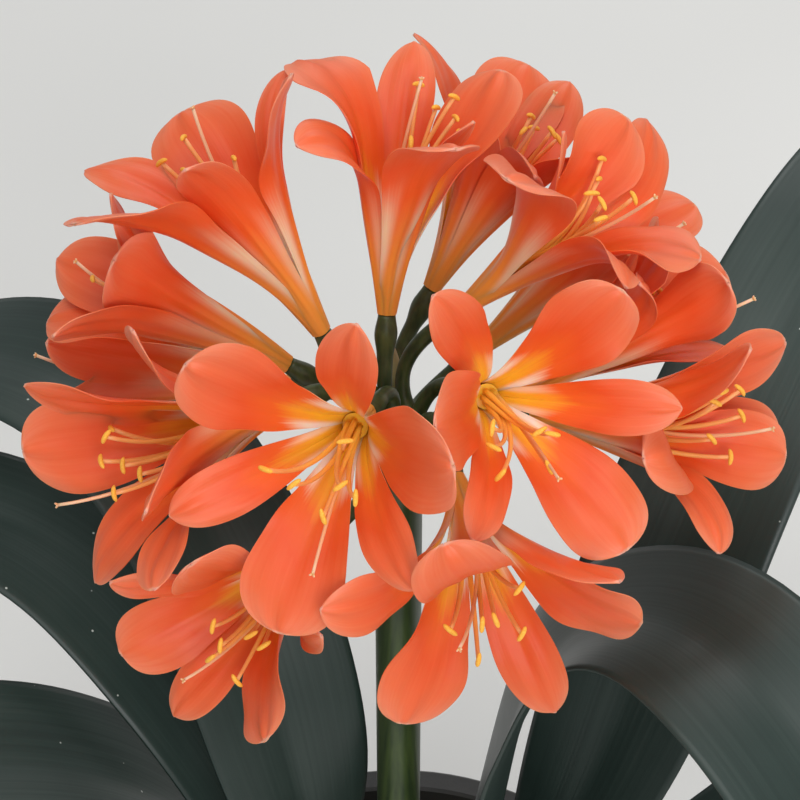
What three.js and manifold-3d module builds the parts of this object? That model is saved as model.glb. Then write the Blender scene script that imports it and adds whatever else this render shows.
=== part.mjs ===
// A clivia in flower, standing in its pot. Millimetres, +Z up, origin under the middle of the pot.
//
// The plant grows from a short crown seated in the soil. Strap leaves rise from the crown in two
// ranks, a flattened stalk (the scape) rises between them, and fourteen funnel-shaped blooms stand
// round its head on stalks of their own.

import * as THREE from 'three';
import * as BufferGeometryUtils from 'three/addons/utils/BufferGeometryUtils.js';
import Module from 'manifold-3d';

// ---------------------------------------------------------------- driving dimensions

const POT = { height: 180, rimRadius: 102, rimDepth: 24, shoulderRadius: 96, footRadius: 72 };
const POT_WALL = 4;
const POT_FLOOR = 6;
const POT_SIDES = 24;
const DRAIN = { holes: 4, radius: 6, fromCentre: 42, sides: 10 };
const SOIL_BELOW_RIM = 20;
const CLEARANCE = 0.35; // between pieces that touch

const CROWN = { halfLength: 58, halfWidth: 36, rise: 30, root: 24 };
const SCAPE = { flat: 13, wide: 22 };
const SCAPE_LEAN = 25; // how far its head stands behind the pot's axis
const HEAD_HEIGHT = 450;

const LEAF_THICKNESS = 1.8;
const FOOT_FIRST = 18; // distance of the innermost leaf from the scape's axis
const FOOT_STEP = 6.5;

const PETAL_THICKNESS = 0.8;
const TUBE = { footRadius: 2.4, solidLength: 11, flare: 2.9 };
const PEDICEL_RADIUS = 2.1;
const PEDICEL_START = 8; // how far from the middle of the head a pedicel begins
const OVARY = { length: 12, radius: 3.1, endRadius: 2.3 };
const STAMEN = { radius: 0.75, antherLength: 5, antherRadius: 1.2 };
const COLUMN = { radius: 2.6, height: 2.2, ring: 1.5 }; // where the filaments join, deep in the tube

// The two kinds of tepal: length, half width, the outline's powers, how far it leans out of the
// bloom's axis and how far its end curls back, in degrees, and how far from the axis it starts.
const OUTER = {
  length: 70, halfWidth: 8.4, rise: 1.35, fall: 3.4, round: 0.66, spread: 27, curl: 42, foot: 2.9,
  columns: [-1, 0, 1],
};
const INNER = {
  length: 68, halfWidth: 13, rise: 1.5, fall: 4, round: 0.5, spread: 25, curl: 34, foot: 1.6,
  columns: [-1, -0.4, 0.4, 1],
};
const CLAW = 2.4; // half width at the tube
const TEPAL_ROOM = 0.8; // widest half angle, in radians, that a tepal takes up round the bloom's axis
const TEPAL_ROWS = [0.12, 0.38, 0.62, 0.84, 0.985];

// Every bloom: the way its pedicel points and the way it faces, as compass and lean from upright in
// degrees, the pedicel's reach, the turn about its own axis, its size and how open it is. Under
// tepals, those that grew differently: even numbers are outer ones, odd numbers inner ones; sway
// turns the end of one aside and twist rolls it, in degrees. Then the ends of its anthers and of
// its style in its own frame, as compass, lean and distance from its foot.
const BLOOMS = [
  { stalk: [-111, 35], reach: 38, face: [-109, 65], turn: -64, size: 0.94, spread: 6, tepals: {
    0: { at: 3, size: 0.94, spread: 4, sway: 5 },
    1: { at: 2, size: 1.03, spread: 7, curl: 4, wide: 1.05 }, 2: { at: -2, size: 0.93 },
    3: { at: -5, spread: 4, curl: -6, wide: 1.1 }, 4: { at: -6, spread: 3 },
    5: { at: 2, size: 0.98, spread: 8, curl: -8, wide: 1.05 } },
    anthers: [[-88, 12, 52], [-47, 5, 50], [81, 15, 52], [33, 12, 52], [144, 15, 46], [85, 10, 49]],
    style: [15, 24, 60] },
  { stalk: [-34, 36], reach: 38, face: [-61, 56], turn: -48, size: 0.92, spread: 6, tepals: {
    0: { at: -4, size: 0.9 }, 1: { at: 2, size: 1.03, spread: 4, sway: -5 }, 2: { size: 0.93 },
    3: { at: -3, size: 0.92, spread: 7, curl: -10, wide: 1.1 }, 4: { at: 17, spread: 10, curl: -12 },
    5: { curl: -10 } },
    anthers: [[-100, 19, 52], [-81, 20, 50], [-60, 23, 52], [-21, 15, 52], [-60, 6, 50], [-28, 5, 52]],
    style: [-30, 14, 62] },
  { stalk: [-64, 63], reach: 38, face: [-77, 98], turn: -97, size: 0.97, spread: 4, tepals: {
    0: { at: -5, size: 0.92, spread: 13, curl: 12, sway: -5, twist: 30, wide: 1.2 },
    1: { at: -3, spread: 7, sway: 5 }, 3: { at: 3, size: 0.95, spread: 2 },
    4: { at: 1, spread: 5, curl: -30, sway: -8, twist: 22, wide: 1.15 },
    5: { size: 0.97, curl: 80, start: 0.55 } },
    anthers: [[-120, 18, 52], [-71, 8, 54], [-148, 13, 52], [-165, 10, 50], [130, 6, 52], [164, 19, 48]],
    style: [-135, 19, 62] },
  { stalk: [-127, 108], reach: 36, face: [-124, 82], turn: -126, size: 0.92, tepals: {
    0: { at: 13, spread: -5, curl: -17, sway: -5 }, 1: { at: 6, curl: 6, sway: 10, wide: 0.85 },
    2: { at: -8, spread: 3, curl: 16, sway: -10, wide: 0.9 }, 3: { at: 2, spread: -4, curl: -6, sway: 5 },
    4: { size: 0.92, spread: 3, curl: 10, sway: 15 }, 5: { at: 15, size: 0.96, curl: -10, twist: 50 } },
    anthers: [[-155, 4, 50], [87, 3, 52], [-7, 9, 52], [105, 17, 50], [44, 14, 54], [114, 12, 48]],
    style: [-20, 14, 60] },
  { stalk: [-156, 49], reach: 40, face: [-149, 84], turn: -115, spread: -5, curl: -5, start: 0.5, tepals: {
    0: { spread: -4, curl: -10 }, 1: { at: -12, curl: -12, size: 1.04 },
    2: { spread: 4, curl: 12, size: 1.02 },
    3: { size: 0.98, spread: 8, curl: 3, sway: 5, twist: -40, wide: 0.5 },
    4: { at: -4, spread: 7, curl: -8, sway: -10, twist: -30 },
    5: { at: -8, spread: 20, curl: 13, size: 0.97, sway: 5, wide: 0.55 } },
    anthers: [[-149, 8, 52], [-53, 9, 52], [0, 12, 52], [-100, 12, 48], [60, 6, 46], [-20, 4, 48]],
    style: [-26, 17, 66] },
  { stalk: [150, 86], reach: 35, face: [169, 88], turn: -102, spread: -9, start: 0.5, tepals: {
    1: { at: -20, size: 1.05 }, 2: { spread: -4 }, 5: { size: 0.92 } },
    anthers: [[137, 13, 58], [162, 13, 58], [159, 11, 54], [120, 8, 50], [-160, 8, 50], [90, 6, 46]],
    style: [126, 14, 70] },
  { stalk: [171, 52], reach: 38, face: [173, 56], turn: -156, spread: -10, start: 0.5, tepals: {
    0: { size: 0.98, spread: -14, curl: 6, sway: -5 }, 1: { at: -6, spread: -9, size: 0.86 },
    2: { wide: 1.3 }, 3: { at: -30, spread: 5, curl: 20, wide: 0.75 },
    5: { at: -6, spread: -5, size: 0.91 } },
    anthers: [[-11, 9, 56], [-40, 5, 52], [40, 8, 50], [0, 5, 48], [-120, 4, 46], [100, 7, 48]],
    style: [-30, 11, 62] },
  { stalk: [170, 29], reach: 42, face: [145, 36], turn: -97, size: 1.06, spread: -9, curl: 5, start: 0.5,
    tepals: {
    0: { size: 0.96, spread: -2, curl: 13, twist: 40, wide: 0.48 }, 1: { at: 4, spread: 2, curl: 12 },
    2: { at: -5, spread: 4, size: 1.04, curl: 6 }, 3: { at: 3, spread: 14, size: 1.09, curl: 5 },
    4: { at: -15, size: 0.96, wide: 0.9 }, 5: { at: 8, curl: 3, wide: 0.8 } },
    anthers: [[-16, 12, 58], [23, 14, 57], [14, 12, 52], [60, 8, 50], [-80, 6, 48], [150, 7, 47]],
    style: [-43, 11, 63] },
  { stalk: [107, 15], reach: 39, face: [84, 27], turn: -116, spread: -11, curl: 10, start: 0.5, tepals: {
    0: { curl: -20, size: 0.85 }, 1: { at: -6, spread: 14, curl: -30, size: 1.04, sway: 25, wide: 0.9 },
    2: { at: -7, spread: 3, curl: -18, size: 1.06, wide: 0.88 },
    3: { at: 2, spread: -3, curl: 49, size: 1.12, start: 0.55 },
    4: { at: 4, spread: -3, curl: 54, size: 0.91, sway: 5, twist: -40, wide: 1.1 },
    5: { at: 25, spread: 12, curl: 20, wide: 0.85 } },
    anthers: [[-21, 12, 60], [-45, 14, 55], [-156, 14, 50], [-59, 16, 59], [-61, 18, 54], [-65, 20, 51]],
    style: [-40, 8, 62] },
  { stalk: [75, 58], reach: 43, face: [42, 37], turn: -8, size: 1.04, spread: -9, start: 0.5, tepals: {
    0: { at: 16, curl: 5, sway: 25 }, 1: { at: -9, curl: 13 }, 2: { curl: 20, spread: 4 },
    3: { size: 0.78, spread: -4 }, 4: { curl: 45, spread: 2, size: 0.85, twist: -30 },
    5: { size: 0.93, spread: 3, curl: 10, sway: -10 } },
    anthers: [[-97, 12, 54], [-60, 12, 52], [-130, 8, 50], [20, 10, 52], [90, 7, 47], [-20, 6, 50]],
    style: [-100, 6, 62] },
  { stalk: [35, 31], reach: 44, face: [7, 47], turn: -86, spread: -8, start: 0.5, tepals: {
    0: { at: -3, spread: -2, curl: 54, size: 0.88 },
    1: { spread: -1, curl: 17, size: 0.95, sway: -5, wide: 1.15 },
    2: { at: 8, spread: 6, curl: 25, size: 1.08, sway: 50, wide: 1.1 },
    3: { at: -8, spread: -2, size: 0.95 }, 4: { size: 0.8, spread: -6 },
    5: { at: -18, spread: 18, curl: 45, sway: 20, twist: 30 } },
    anthers: [[96, 14, 52], [-148, 12, 50], [-129, 14, 52], [-42, 4, 54], [-117, 16, 50], [90, 10, 48]],
    style: [-90, 10, 62] },
  { stalk: [54, 87], reach: 42, face: [30, 62], turn: -24, size: 1.05, spread: -8, curl: -8, tepals: {
    1: { at: -15, spread: -3, curl: 5, size: 1.12, sway: -5, wide: 0.7 }, 2: { size: 1.05, curl: -15 },
    3: { size: 0.75, spread: -4, wide: 0.8 }, 4: { size: 0.8 }, 5: { size: 0.85 } },
    anthers: [[-79, 14, 60], [-60, 12, 54], [-100, 10, 52], [-30, 8, 50], [120, 6, 46], [-140, 8, 48]],
    style: [-80, 10, 62] },
  { stalk: [-7, 54], reach: 37, face: [19, 68], turn: -20, spread: -10, curl: -5, start: 0.5, tepals: {
    0: { size: 0.95 }, 1: { size: 1.06 }, 2: { size: 0.9 }, 3: { size: 0.83, spread: -5 },
    4: { at: -20, curl: 70, spread: -5, size: 0.8 },
    5: { at: -49, spread: -5, curl: 22, sway: -15, wide: 0.75 } },
    anthers: [[-89, 8, 56], [-60, 10, 52], [-120, 10, 50], [-30, 8, 48], [90, 6, 46], [160, 6, 47]],
    style: [-89, 10, 68] },
  { stalk: [-5, 72], reach: 38, face: [-19, 78], turn: -56, size: 1.03, spread: -6, curl: -4, start: 0.5,
    tepals: {
    0: { curl: 30, spread: -4, size: 0.93, twist: 40 }, 1: { at: 32, spread: -6, curl: 12, wide: 0.8 },
    2: { at: -10, spread: 3, curl: 16, sway: -10, wide: 0.8 },
    3: { at: -17, spread: 3, curl: -8, sway: -5, wide: 0.85 },
    5: { at: -4, size: 0.88, spread: -2, curl: 100, twist: 30 } },
    anthers: [[103, 14, 54], [-170, 14, 52], [155, 12, 52], [79, 12, 54], [-120, 8, 50], [8, 11, 52]],
    style: [60, 8, 62] },
];

// Every leaf, from the innermost out: length, width, lean at the foot and at the tip, the part of
// the length over which it arches, and its turns about the upright as [degrees, from, to].
const LEFT_LEAVES = [
  { length: 530, width: 56, lean: [5, 155], arch: [0.2, 0.9], turns: [[-58, 0.1, 0.35], [32, 0.4, 0.7]] },
  { length: 500, width: 50, lean: [6, 125], arch: [0.1, 0.85], turns: [[-38, 0.05, 0.3], [62, 0.4, 0.75]] },
  { length: 490, width: 62, lean: [11, 124], arch: [0.15, 0.8], turns: [[20, 0.1, 0.4]] },
  { length: 490, width: 60, lean: [13, 135], arch: [0.1, 0.8], turns: [[32, 0.1, 0.4]] },
  { length: 450, width: 54, lean: [24, 140], arch: [0, 0.8], turns: [[34, 0.1, 0.6]] },
  { length: 430, width: 52, lean: [34, 135], arch: [0, 0.8], turns: [[-28, 0.1, 0.6]] },
];
const RIGHT_LEAVES = [
  { length: 520, width: 58, lean: [5, 165], arch: [0.33, 0.88], turns: [[-12, 0, 0.3], [-46, 0.4, 0.6]] },
  { length: 530, width: 56, lean: [13, 118], arch: [0.14, 0.97], turns: [[60, 0.1, 0.4]] },
  { length: 420, width: 50, lean: [17, 140], arch: [0.05, 0.7], turns: [[-60, 0.12, 0.45]] },
  { length: 450, width: 54, lean: [22, 135], arch: [0, 0.8], turns: [[24, 0.1, 0.4]] },
  { length: 450, width: 54, lean: [28, 140], arch: [0, 0.8], turns: [[-22, 0.1, 0.6]] },
  { length: 430, width: 52, lean: [38, 135], arch: [0, 0.8], turns: [[35, 0.1, 0.6]] },
];
const LEAF_ROWS = [0, 0.1, 0.22, 0.35, 0.48, 0.61, 0.74, 0.88, 0.985];
const LEAF_COLUMNS = [-1, 0, 1];

// ---------------------------------------------------------------- solids

const wasm = await Module();
wasm.setup();

function toSolid(geometry) {
  const plain = geometry.clone();
  plain.deleteAttribute('normal');
  plain.deleteAttribute('uv');
  const merged = BufferGeometryUtils.mergeVertices(plain, 1e-4);
  return new wasm.Manifold(new wasm.Mesh({
    numProp: 3,
    vertProperties: new Float32Array(merged.attributes.position.array),
    triVerts: new Uint32Array(merged.index.array),
  }));
}

function toGeometry(solid) {
  const mesh = solid.getMesh();
  const geometry = new THREE.BufferGeometry();
  geometry.setAttribute('position', new THREE.BufferAttribute(new Float32Array(mesh.vertProperties), 3));
  geometry.setIndex(new THREE.BufferAttribute(new Uint32Array(mesh.triVerts), 1));
  geometry.computeVertexNormals();
  return geometry;
}

const union = (solids) => solids.reduce((whole, solid) => whole.add(solid));

/** A closed geometry from points and triangles, with its faces turned outward. */
function closedGeometry(points, triangles) {
  let volume = 0;
  for (const [a, b, c] of triangles) {
    volume += points[a].dot(new THREE.Vector3().crossVectors(points[b], points[c]));
  }
  const outward = volume < 0 ? triangles.map(([a, b, c]) => [a, c, b]) : triangles;
  const geometry = new THREE.BufferGeometry().setFromPoints(points);
  geometry.setIndex(outward.flat());
  return geometry;
}

/** Joins rings of equal length into one closed solid, flat at both ends. */
function loft(rings) {
  const sides = rings[0].length;
  const points = rings.flat();
  const triangles = [];
  for (let ring = 0; ring < rings.length - 1; ring += 1) {
    for (let side = 0; side < sides; side += 1) {
      const a = ring * sides + side;
      const b = ring * sides + (side + 1) % sides;
      triangles.push([a, b, b + sides], [a, b + sides, a + sides]);
    }
  }
  const last = (rings.length - 1) * sides;
  for (let side = 1; side < sides - 1; side += 1) {
    triangles.push([0, side + 1, side], [last, last + side, last + side + 1]);
  }
  return closedGeometry(points, triangles);
}

/** A round rod through the stations { point, radius }, all its rings square to one steady frame. */
function rod(stations, sides) {
  const curve = stations.map((station) => station.point);
  const rings = stations.map(({ radius }, index) => {
    const before = curve[Math.max(index - 1, 0)];
    const after = curve[Math.min(index + 1, curve.length - 1)];
    const along = after.clone().sub(before).normalize();
    const turn = new THREE.Quaternion().setFromUnitVectors(new THREE.Vector3(0, 0, 1), along);
    return Array.from({ length: sides }, (_, side) => {
      const angle = (side / sides) * 2 * Math.PI;
      const spoke = new THREE.Vector3(Math.cos(angle) * radius, Math.sin(angle) * radius, 0);
      return spoke.applyQuaternion(turn).add(curve[index]);
    });
  });
  return loft(rings);
}

/** A thin sheet over a grid of points, of one thickness, split into triangles alike on both faces. */
function sheet(grid, thickness) {
  const rows = grid.length;
  const columns = grid[0].length;
  const faces = [[], []];
  for (let row = 0; row < rows; row += 1) {
    for (let column = 0; column < columns; column += 1) {
      const along = grid[Math.min(row + 1, rows - 1)][column].clone()
        .sub(grid[Math.max(row - 1, 0)][column]);
      const across = grid[row][Math.min(column + 1, columns - 1)].clone()
        .sub(grid[row][Math.max(column - 1, 0)]);
      const offset = along.cross(across).setLength(thickness / 2);
      faces[0].push(grid[row][column].clone().add(offset));
      faces[1].push(grid[row][column].clone().sub(offset));
    }
  }
  const back = rows * columns;
  const triangles = [];
  for (let row = 0; row < rows - 1; row += 1) {
    for (let column = 0; column < columns - 1; column += 1) {
      const a = row * columns + column;
      const b = a + 1;
      const c = b + columns;
      const d = a + columns;
      const split = column < (columns - 1) / 2 ? [[a, b, c], [a, c, d]] : [[a, b, d], [b, c, d]];
      for (const [p, q, r] of split) {
        triangles.push([p, q, r], [back + p, back + r, back + q]);
      }
    }
  }
  const rim = [];
  for (let column = 0; column < columns - 1; column += 1) rim.push(column);
  for (let row = 0; row < rows - 1; row += 1) rim.push(row * columns + columns - 1);
  for (let column = columns - 1; column > 0; column -= 1) rim.push((rows - 1) * columns + column);
  for (let row = rows - 1; row > 0; row -= 1) rim.push(row * columns);
  rim.forEach((a, index) => {
    const b = rim[(index + 1) % rim.length];
    triangles.push([b, a, back + a], [b, back + a, back + b]);
  });
  return closedGeometry(faces.flat(), triangles);
}

// ---------------------------------------------------------------- directions

const radians = THREE.MathUtils.degToRad;
const smooth = (x) => THREE.MathUtils.smoothstep(x, 0, 1);
const clamp = THREE.MathUtils.clamp;

/** The unit vector at a compass angle and a lean from upright, both in degrees. */
function direction(compass, lean) {
  const around = radians(compass);
  const out = Math.sin(radians(lean));
  return new THREE.Vector3(out * Math.cos(around), out * Math.sin(around), Math.cos(radians(lean)));
}

/** Points along a blade's midrib with the way across it and the way to its upper or inner side. */
function midrib(start, length, leanAt, compassAt) {
  const steps = 80;
  const stations = [];
  const point = start.clone();
  for (let step = 0; step <= steps; step += 1) {
    const t = step / steps;
    const lean = leanAt(t);
    const compass = compassAt(t);
    stations.push({
      point: point.clone(),
      across: direction(compass + 90, 90),
      inward: direction(compass, lean - 90),
    });
    const middle = t + 0.5 / steps;
    point.addScaledVector(direction(compassAt(middle), leanAt(middle)), length / steps);
  }
  return (t) => stations[Math.round(t * steps)];
}

// ---------------------------------------------------------------- blooms

function outline(s, kind) {
  const shape = (x) => x ** kind.rise * (1 - x ** kind.fall) ** kind.round;
  let widest = 0;
  for (let x = 0; x <= 1; x += 0.01) widest = Math.max(widest, shape(x));
  return kind.halfWidth * shape(s) / widest + CLAW * (1 - s) * Math.exp(-((s / 0.28) ** 2));
}

/** One tepal as a sheet. It rises from the tube, leans out and curls back at its end. */
function tepal(bloom, number) {
  const kind = number % 2 ? INNER : OUTER;
  const own = { at: 0, size: 1, spread: 0, curl: 0, sway: 0, twist: 0, wide: 1, ...bloom.tepals[number] };
  const compass = bloom.turn + 60 * number + own.at;
  const spread = kind.spread + (bloom.spread ?? 0) + own.spread;
  const curl = kind.curl + (bloom.curl ?? 0) + own.curl;
  const curlStart = own.start ?? bloom.start ?? 0.42;
  const tubeLean = 9;
  const leanAt = (t) => tubeLean + (spread - tubeLean) * smooth(t / 0.42)
    + curl * clamp((t - curlStart) / (1 - curlStart), 0, 1) ** 1.6;
  const compassAt = (t) => compass + own.sway * smooth((t - 0.3) / 0.7);
  const start = direction(compass, 90).multiplyScalar(kind.foot);
  const station = midrib(start, kind.length * own.size, leanAt, compassAt);
  const grid = TEPAL_ROWS.map((s) => {
    const { point, across, inward } = station(s);
    const roll = radians(own.twist * smooth((s - 0.25) / 0.75));
    const sideways = across.clone().multiplyScalar(Math.cos(roll)).addScaledVector(inward, Math.sin(roll));
    const upward = inward.clone().multiplyScalar(Math.cos(roll)).addScaledVector(across, -Math.sin(roll));
    const radius = Math.max(Math.hypot(point.x, point.y), kind.foot);
    const halfWidth = Math.min(outline(s, kind) * own.size * own.wide, radius * TEPAL_ROOM);
    const hollow = (1 - smooth((s - 0.55) / 0.42)) / radius;
    return kind.columns.map((column) => {
      const reach = column * halfWidth;
      const side = hollow > 1e-3 ? Math.sin(reach * hollow) / hollow : reach;
      const depth = hollow > 1e-3 ? (1 - Math.cos(reach * hollow)) / hollow : 0;
      return point.clone().addScaledVector(sideways, side).addScaledVector(upward, depth);
    });
  });
  return sheet(grid, PETAL_THICKNESS);
}

function perianth(bloom) {
  const { solidLength, footRadius, flare } = TUBE;
  const tube = rod([
    { point: new THREE.Vector3(0, 0, 0), radius: footRadius },
    { point: new THREE.Vector3(0, 0, solidLength), radius: footRadius + flare },
  ], 8);
  const tepals = [0, 1, 2, 3, 4, 5].map((number) => toSolid(tepal(bloom, number)));
  return toGeometry(union([toSolid(tube), ...tepals]));
}

/** A three-sided filament that ends in an anther set crosswise, with no seam between them. */
function filament(stations, across) {
  const tip = stations.at(-1);
  const along = tip.clone().sub(stations.at(-2)).normalize();
  const side = new THREE.Vector3().crossVectors(across, along);
  const ring = (centre, halfLength, halfWidth) => [
    centre.clone().addScaledVector(across, halfLength).addScaledVector(side, -halfWidth / 2),
    centre.clone().addScaledVector(side, halfWidth),
    centre.clone().addScaledVector(across, -halfLength).addScaledVector(side, -halfWidth / 2),
  ];
  const { radius, antherLength, antherRadius } = STAMEN;
  return loft([
    ...stations.map((point) => ring(point, radius, radius)),
    ring(tip.clone().addScaledVector(along, antherRadius), antherLength / 2, antherRadius),
    ring(tip.clone().addScaledVector(along, 2 * antherRadius), radius, radius / 2),
  ]);
}

/** Six filaments with their anthers and one longer style, all from a short column in the tube. */
function stamens(bloom) {
  const floor = TUBE.solidLength + CLEARANCE;
  const path = (compass, [tipCompass, tipLean, distance]) => [
    direction(compass, 90).multiplyScalar(COLUMN.ring).setZ(floor + 1),
    direction(tipCompass, tipLean).multiplyScalar(distance),
  ];
  const column = rod([
    { point: new THREE.Vector3(0, 0, floor), radius: COLUMN.radius },
    { point: new THREE.Vector3(0, 0, floor + COLUMN.height), radius: COLUMN.radius },
  ], 6);
  const filaments = bloom.anthers.map((end, number) => {
    const compass = bloom.turn + 60 * number;
    return filament(path(compass, end), direction(compass + 90, 90));
  });
  const stylePath = path(bloom.turn + 180, bloom.style);
  const style = rod(stylePath.map((point) => ({ point, radius: STAMEN.radius })), 3);
  return toGeometry(union([column, ...filaments, style].map(toSolid)));
}

/** The matrix that stands a bloom on its pedicel. */
function bloomPlace(bloom) {
  const axis = direction(...bloom.face);
  const right = direction(bloom.face[0], bloom.face[1] + 90);
  const size = bloom.size ?? 1;
  const foot = head.clone().addScaledVector(direction(...bloom.stalk), bloom.reach);
  return new THREE.Matrix4()
    .makeBasis(right, new THREE.Vector3().crossVectors(axis, right), axis)
    .scale(new THREE.Vector3(size, size, size))
    .setPosition(foot);
}

// ---------------------------------------------------------------- stalk, pedicels and bracts

const soilLevel = POT.height - SOIL_BELOW_RIM;
const head = new THREE.Vector3(0, SCAPE_LEAN, HEAD_HEIGHT);

/** The stalk of one bloom with its ovary, from inside the head to the bloom's foot. */
function pedicel(bloom) {
  const axis = direction(...bloom.face);
  const size = bloom.size ?? 1;
  const way = direction(...bloom.stalk);
  const start = head.clone().addScaledVector(way, PEDICEL_START);
  const top = head.clone().addScaledVector(way, bloom.reach).addScaledVector(axis, -CLEARANCE);
  const below = (distance) => top.clone().addScaledVector(axis, -distance * size);
  const bend = below(OVARY.length + 0.4 * bloom.reach);
  const curve = new THREE.QuadraticBezierCurve3(start, bend, below(OVARY.length));
  return toSolid(rod([
    { point: start, radius: PEDICEL_RADIUS * 1.3 },
    { point: curve.getPoint(0.5), radius: PEDICEL_RADIUS },
    { point: below(OVARY.length), radius: PEDICEL_RADIUS },
    { point: below(OVARY.length * 0.5), radius: OVARY.radius * size },
    { point: top, radius: OVARY.endRadius * size },
  ], 4));
}

function bract(compass, lean, length) {
  const station = midrib(head.clone().addScaledVector(direction(compass, 90), 4), length,
    (t) => lean + 30 * t, () => compass);
  const grid = [0, 0.3, 0.6, 0.98].map((s) => {
    const { point, across, inward } = station(s);
    const halfWidth = 5 * Math.sqrt(1 - s);
    return [-1, 0, 1].map((column) => point.clone()
      .addScaledVector(across, column * halfWidth)
      .addScaledVector(inward, Math.abs(column) * halfWidth * 0.5));
  });
  return toSolid(sheet(grid, PETAL_THICKNESS));
}

function scape() {
  const foot = new THREE.Vector3(0, 0, soilLevel + CROWN.rise + CLEARANCE);
  const sides = 8;
  const rings = [0, 0.25, 0.5, 0.75, 1].map((t) => {
    const centre = foot.clone().lerp(head, t);
    centre.y = SCAPE_LEAN * smooth(t);
    return Array.from({ length: sides }, (_, side) => {
      const angle = (side / sides) * 2 * Math.PI;
      return new THREE.Vector3(
        centre.x + Math.cos(angle) * SCAPE.flat / 2,
        centre.y + Math.sin(angle) * SCAPE.wide / 2,
        centre.z,
      );
    });
  });
  const receptacle = new THREE.SphereGeometry(1, 10, 6);
  receptacle.scale(9.5, SCAPE.wide / 2 + 0.5, 9.5);
  receptacle.translate(head.x, head.y, head.z);
  return toGeometry(union([
    toSolid(loft(rings)),
    toSolid(receptacle),
    bract(100, 25, 26),
    bract(225, 40, 22),
    bract(330, 35, 24),
    ...BLOOMS.map(pedicel),
  ]));
}

// ---------------------------------------------------------------- crown, soil and pot

function crownProfile(extra) {
  return new THREE.LatheGeometry([
    new THREE.Vector2(0, -CROWN.root - extra),
    new THREE.Vector2(0.82, -CROWN.root - extra),
    new THREE.Vector2(1, -CROWN.root / 2),
    new THREE.Vector2(1, 0),
    new THREE.Vector2(0.93, CROWN.rise * 0.4 + extra),
    new THREE.Vector2(0.76, CROWN.rise * 0.75 + extra),
    new THREE.Vector2(0.45, CROWN.rise * 0.96 + extra),
    new THREE.Vector2(0, CROWN.rise + extra),
  ], 16).rotateX(Math.PI / 2)
    .scale(CROWN.halfLength + extra, CROWN.halfWidth + extra, 1)
    .translate(0, 0, soilLevel);
}

function lathe(profile, segments) {
  const points = profile.map(([radius, height]) => new THREE.Vector2(radius, height));
  return new THREE.LatheGeometry(points, segments).rotateX(Math.PI / 2);
}

function soil() {
  const top = soilLevel;
  const bottom = POT_FLOOR + CLEARANCE;
  const innerAt = (height) => wallRadius(height) - POT_WALL - CLEARANCE;
  const edge = top - 2;
  const profile = [[0, bottom], [innerAt(bottom), bottom], [innerAt(edge), edge], [0, top + 4]];
  const body = lathe(profile, POT_SIDES);
  const hole = crownProfile(CLEARANCE);
  return toGeometry(toSolid(body).subtract(toSolid(hole)));
}

/** The outside radius of the pot's tapered wall. */
function wallRadius(height) {
  return THREE.MathUtils.mapLinear(height, 0, POT.height, POT.footRadius, POT.shoulderRadius);
}

function pot() {
  const { height, rimRadius, rimDepth, footRadius } = POT;
  const body = lathe([
    [0, 0], [footRadius, 0], [wallRadius(height - rimDepth), height - rimDepth],
    [rimRadius - 1, height - rimDepth + 2], [rimRadius, height - 2], [rimRadius - 1.5, height],
    [wallRadius(height) - POT_WALL + 1, height], [wallRadius(height - 4) - POT_WALL, height - 4],
    [wallRadius(POT_FLOOR) - POT_WALL, POT_FLOOR], [0, POT_FLOOR],
  ], POT_SIDES);
  let solid = toSolid(body);
  for (let hole = 0; hole < DRAIN.holes; hole += 1) {
    const angle = ((hole + 0.5) / DRAIN.holes) * 2 * Math.PI;
    const drill = new THREE.CylinderGeometry(DRAIN.radius, DRAIN.radius, 4 * POT_FLOOR, DRAIN.sides)
      .rotateX(Math.PI / 2)
      .translate(Math.cos(angle) * DRAIN.fromCentre, Math.sin(angle) * DRAIN.fromCentre, 0);
    solid = solid.subtract(toSolid(drill));
  }
  return toGeometry(solid);
}

// ---------------------------------------------------------------- leaves

/** One strap leaf of a rank that starts out along the given compass angle. */
function leaf(form, rankCompass, order) {
  const leanAt = (t) => {
    const arched = smooth((t - form.arch[0]) / (form.arch[1] - form.arch[0]));
    return form.lean[0] + (form.lean[1] - form.lean[0]) * arched;
  };
  const compassAt = (t) => form.turns.reduce(
    (sum, [degrees, from, to]) => sum + degrees * smooth((t - from) / (to - from)), rankCompass);
  const start = direction(rankCompass, 90).multiplyScalar(FOOT_FIRST + FOOT_STEP * order);
  start.z = soilLevel;
  const station = midrib(start, form.length, leanAt, compassAt);
  const grid = LEAF_ROWS.map((s) => {
    const { point, across, inward } = station(s);
    const halfWidth = form.width / 2 * (0.62 + 0.38 * smooth(s / 0.45)) * Math.sqrt(1 - s ** 5);
    const keel = radians(THREE.MathUtils.lerp(24, 9, smooth(s / 0.5)));
    return LEAF_COLUMNS.map((column) => point.clone()
      .addScaledVector(across, column * halfWidth * Math.cos(keel))
      .addScaledVector(inward, Math.abs(column) * halfWidth * Math.sin(keel)));
  });
  const blade = toSolid(sheet(grid, LEAF_THICKNESS));
  return toGeometry(blade.subtract(toSolid(crownProfile(CLEARANCE))));
}

// ---------------------------------------------------------------- the plant in its pot

const plant = new THREE.Group();

function addMesh(name, geometry, colour, roughness) {
  const material = new THREE.MeshStandardMaterial({ color: colour, roughness, metalness: 0 });
  const mesh = new THREE.Mesh(geometry, material);
  mesh.name = name;
  plant.add(mesh);
  return mesh;
}

const POT_COLOUR = 0x2b2a28;
const SOIL_COLOUR = 0x3a2a1e;
const CROWN_COLOUR = 0x8a9a5b;
const SCAPE_COLOUR = 0x3f4a26;
const LEAF_COLOUR = 0x24352a;
const PETAL_COLOUR = 0xeb643c;
const STAMEN_COLOUR = 0xf2a93b;

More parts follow.
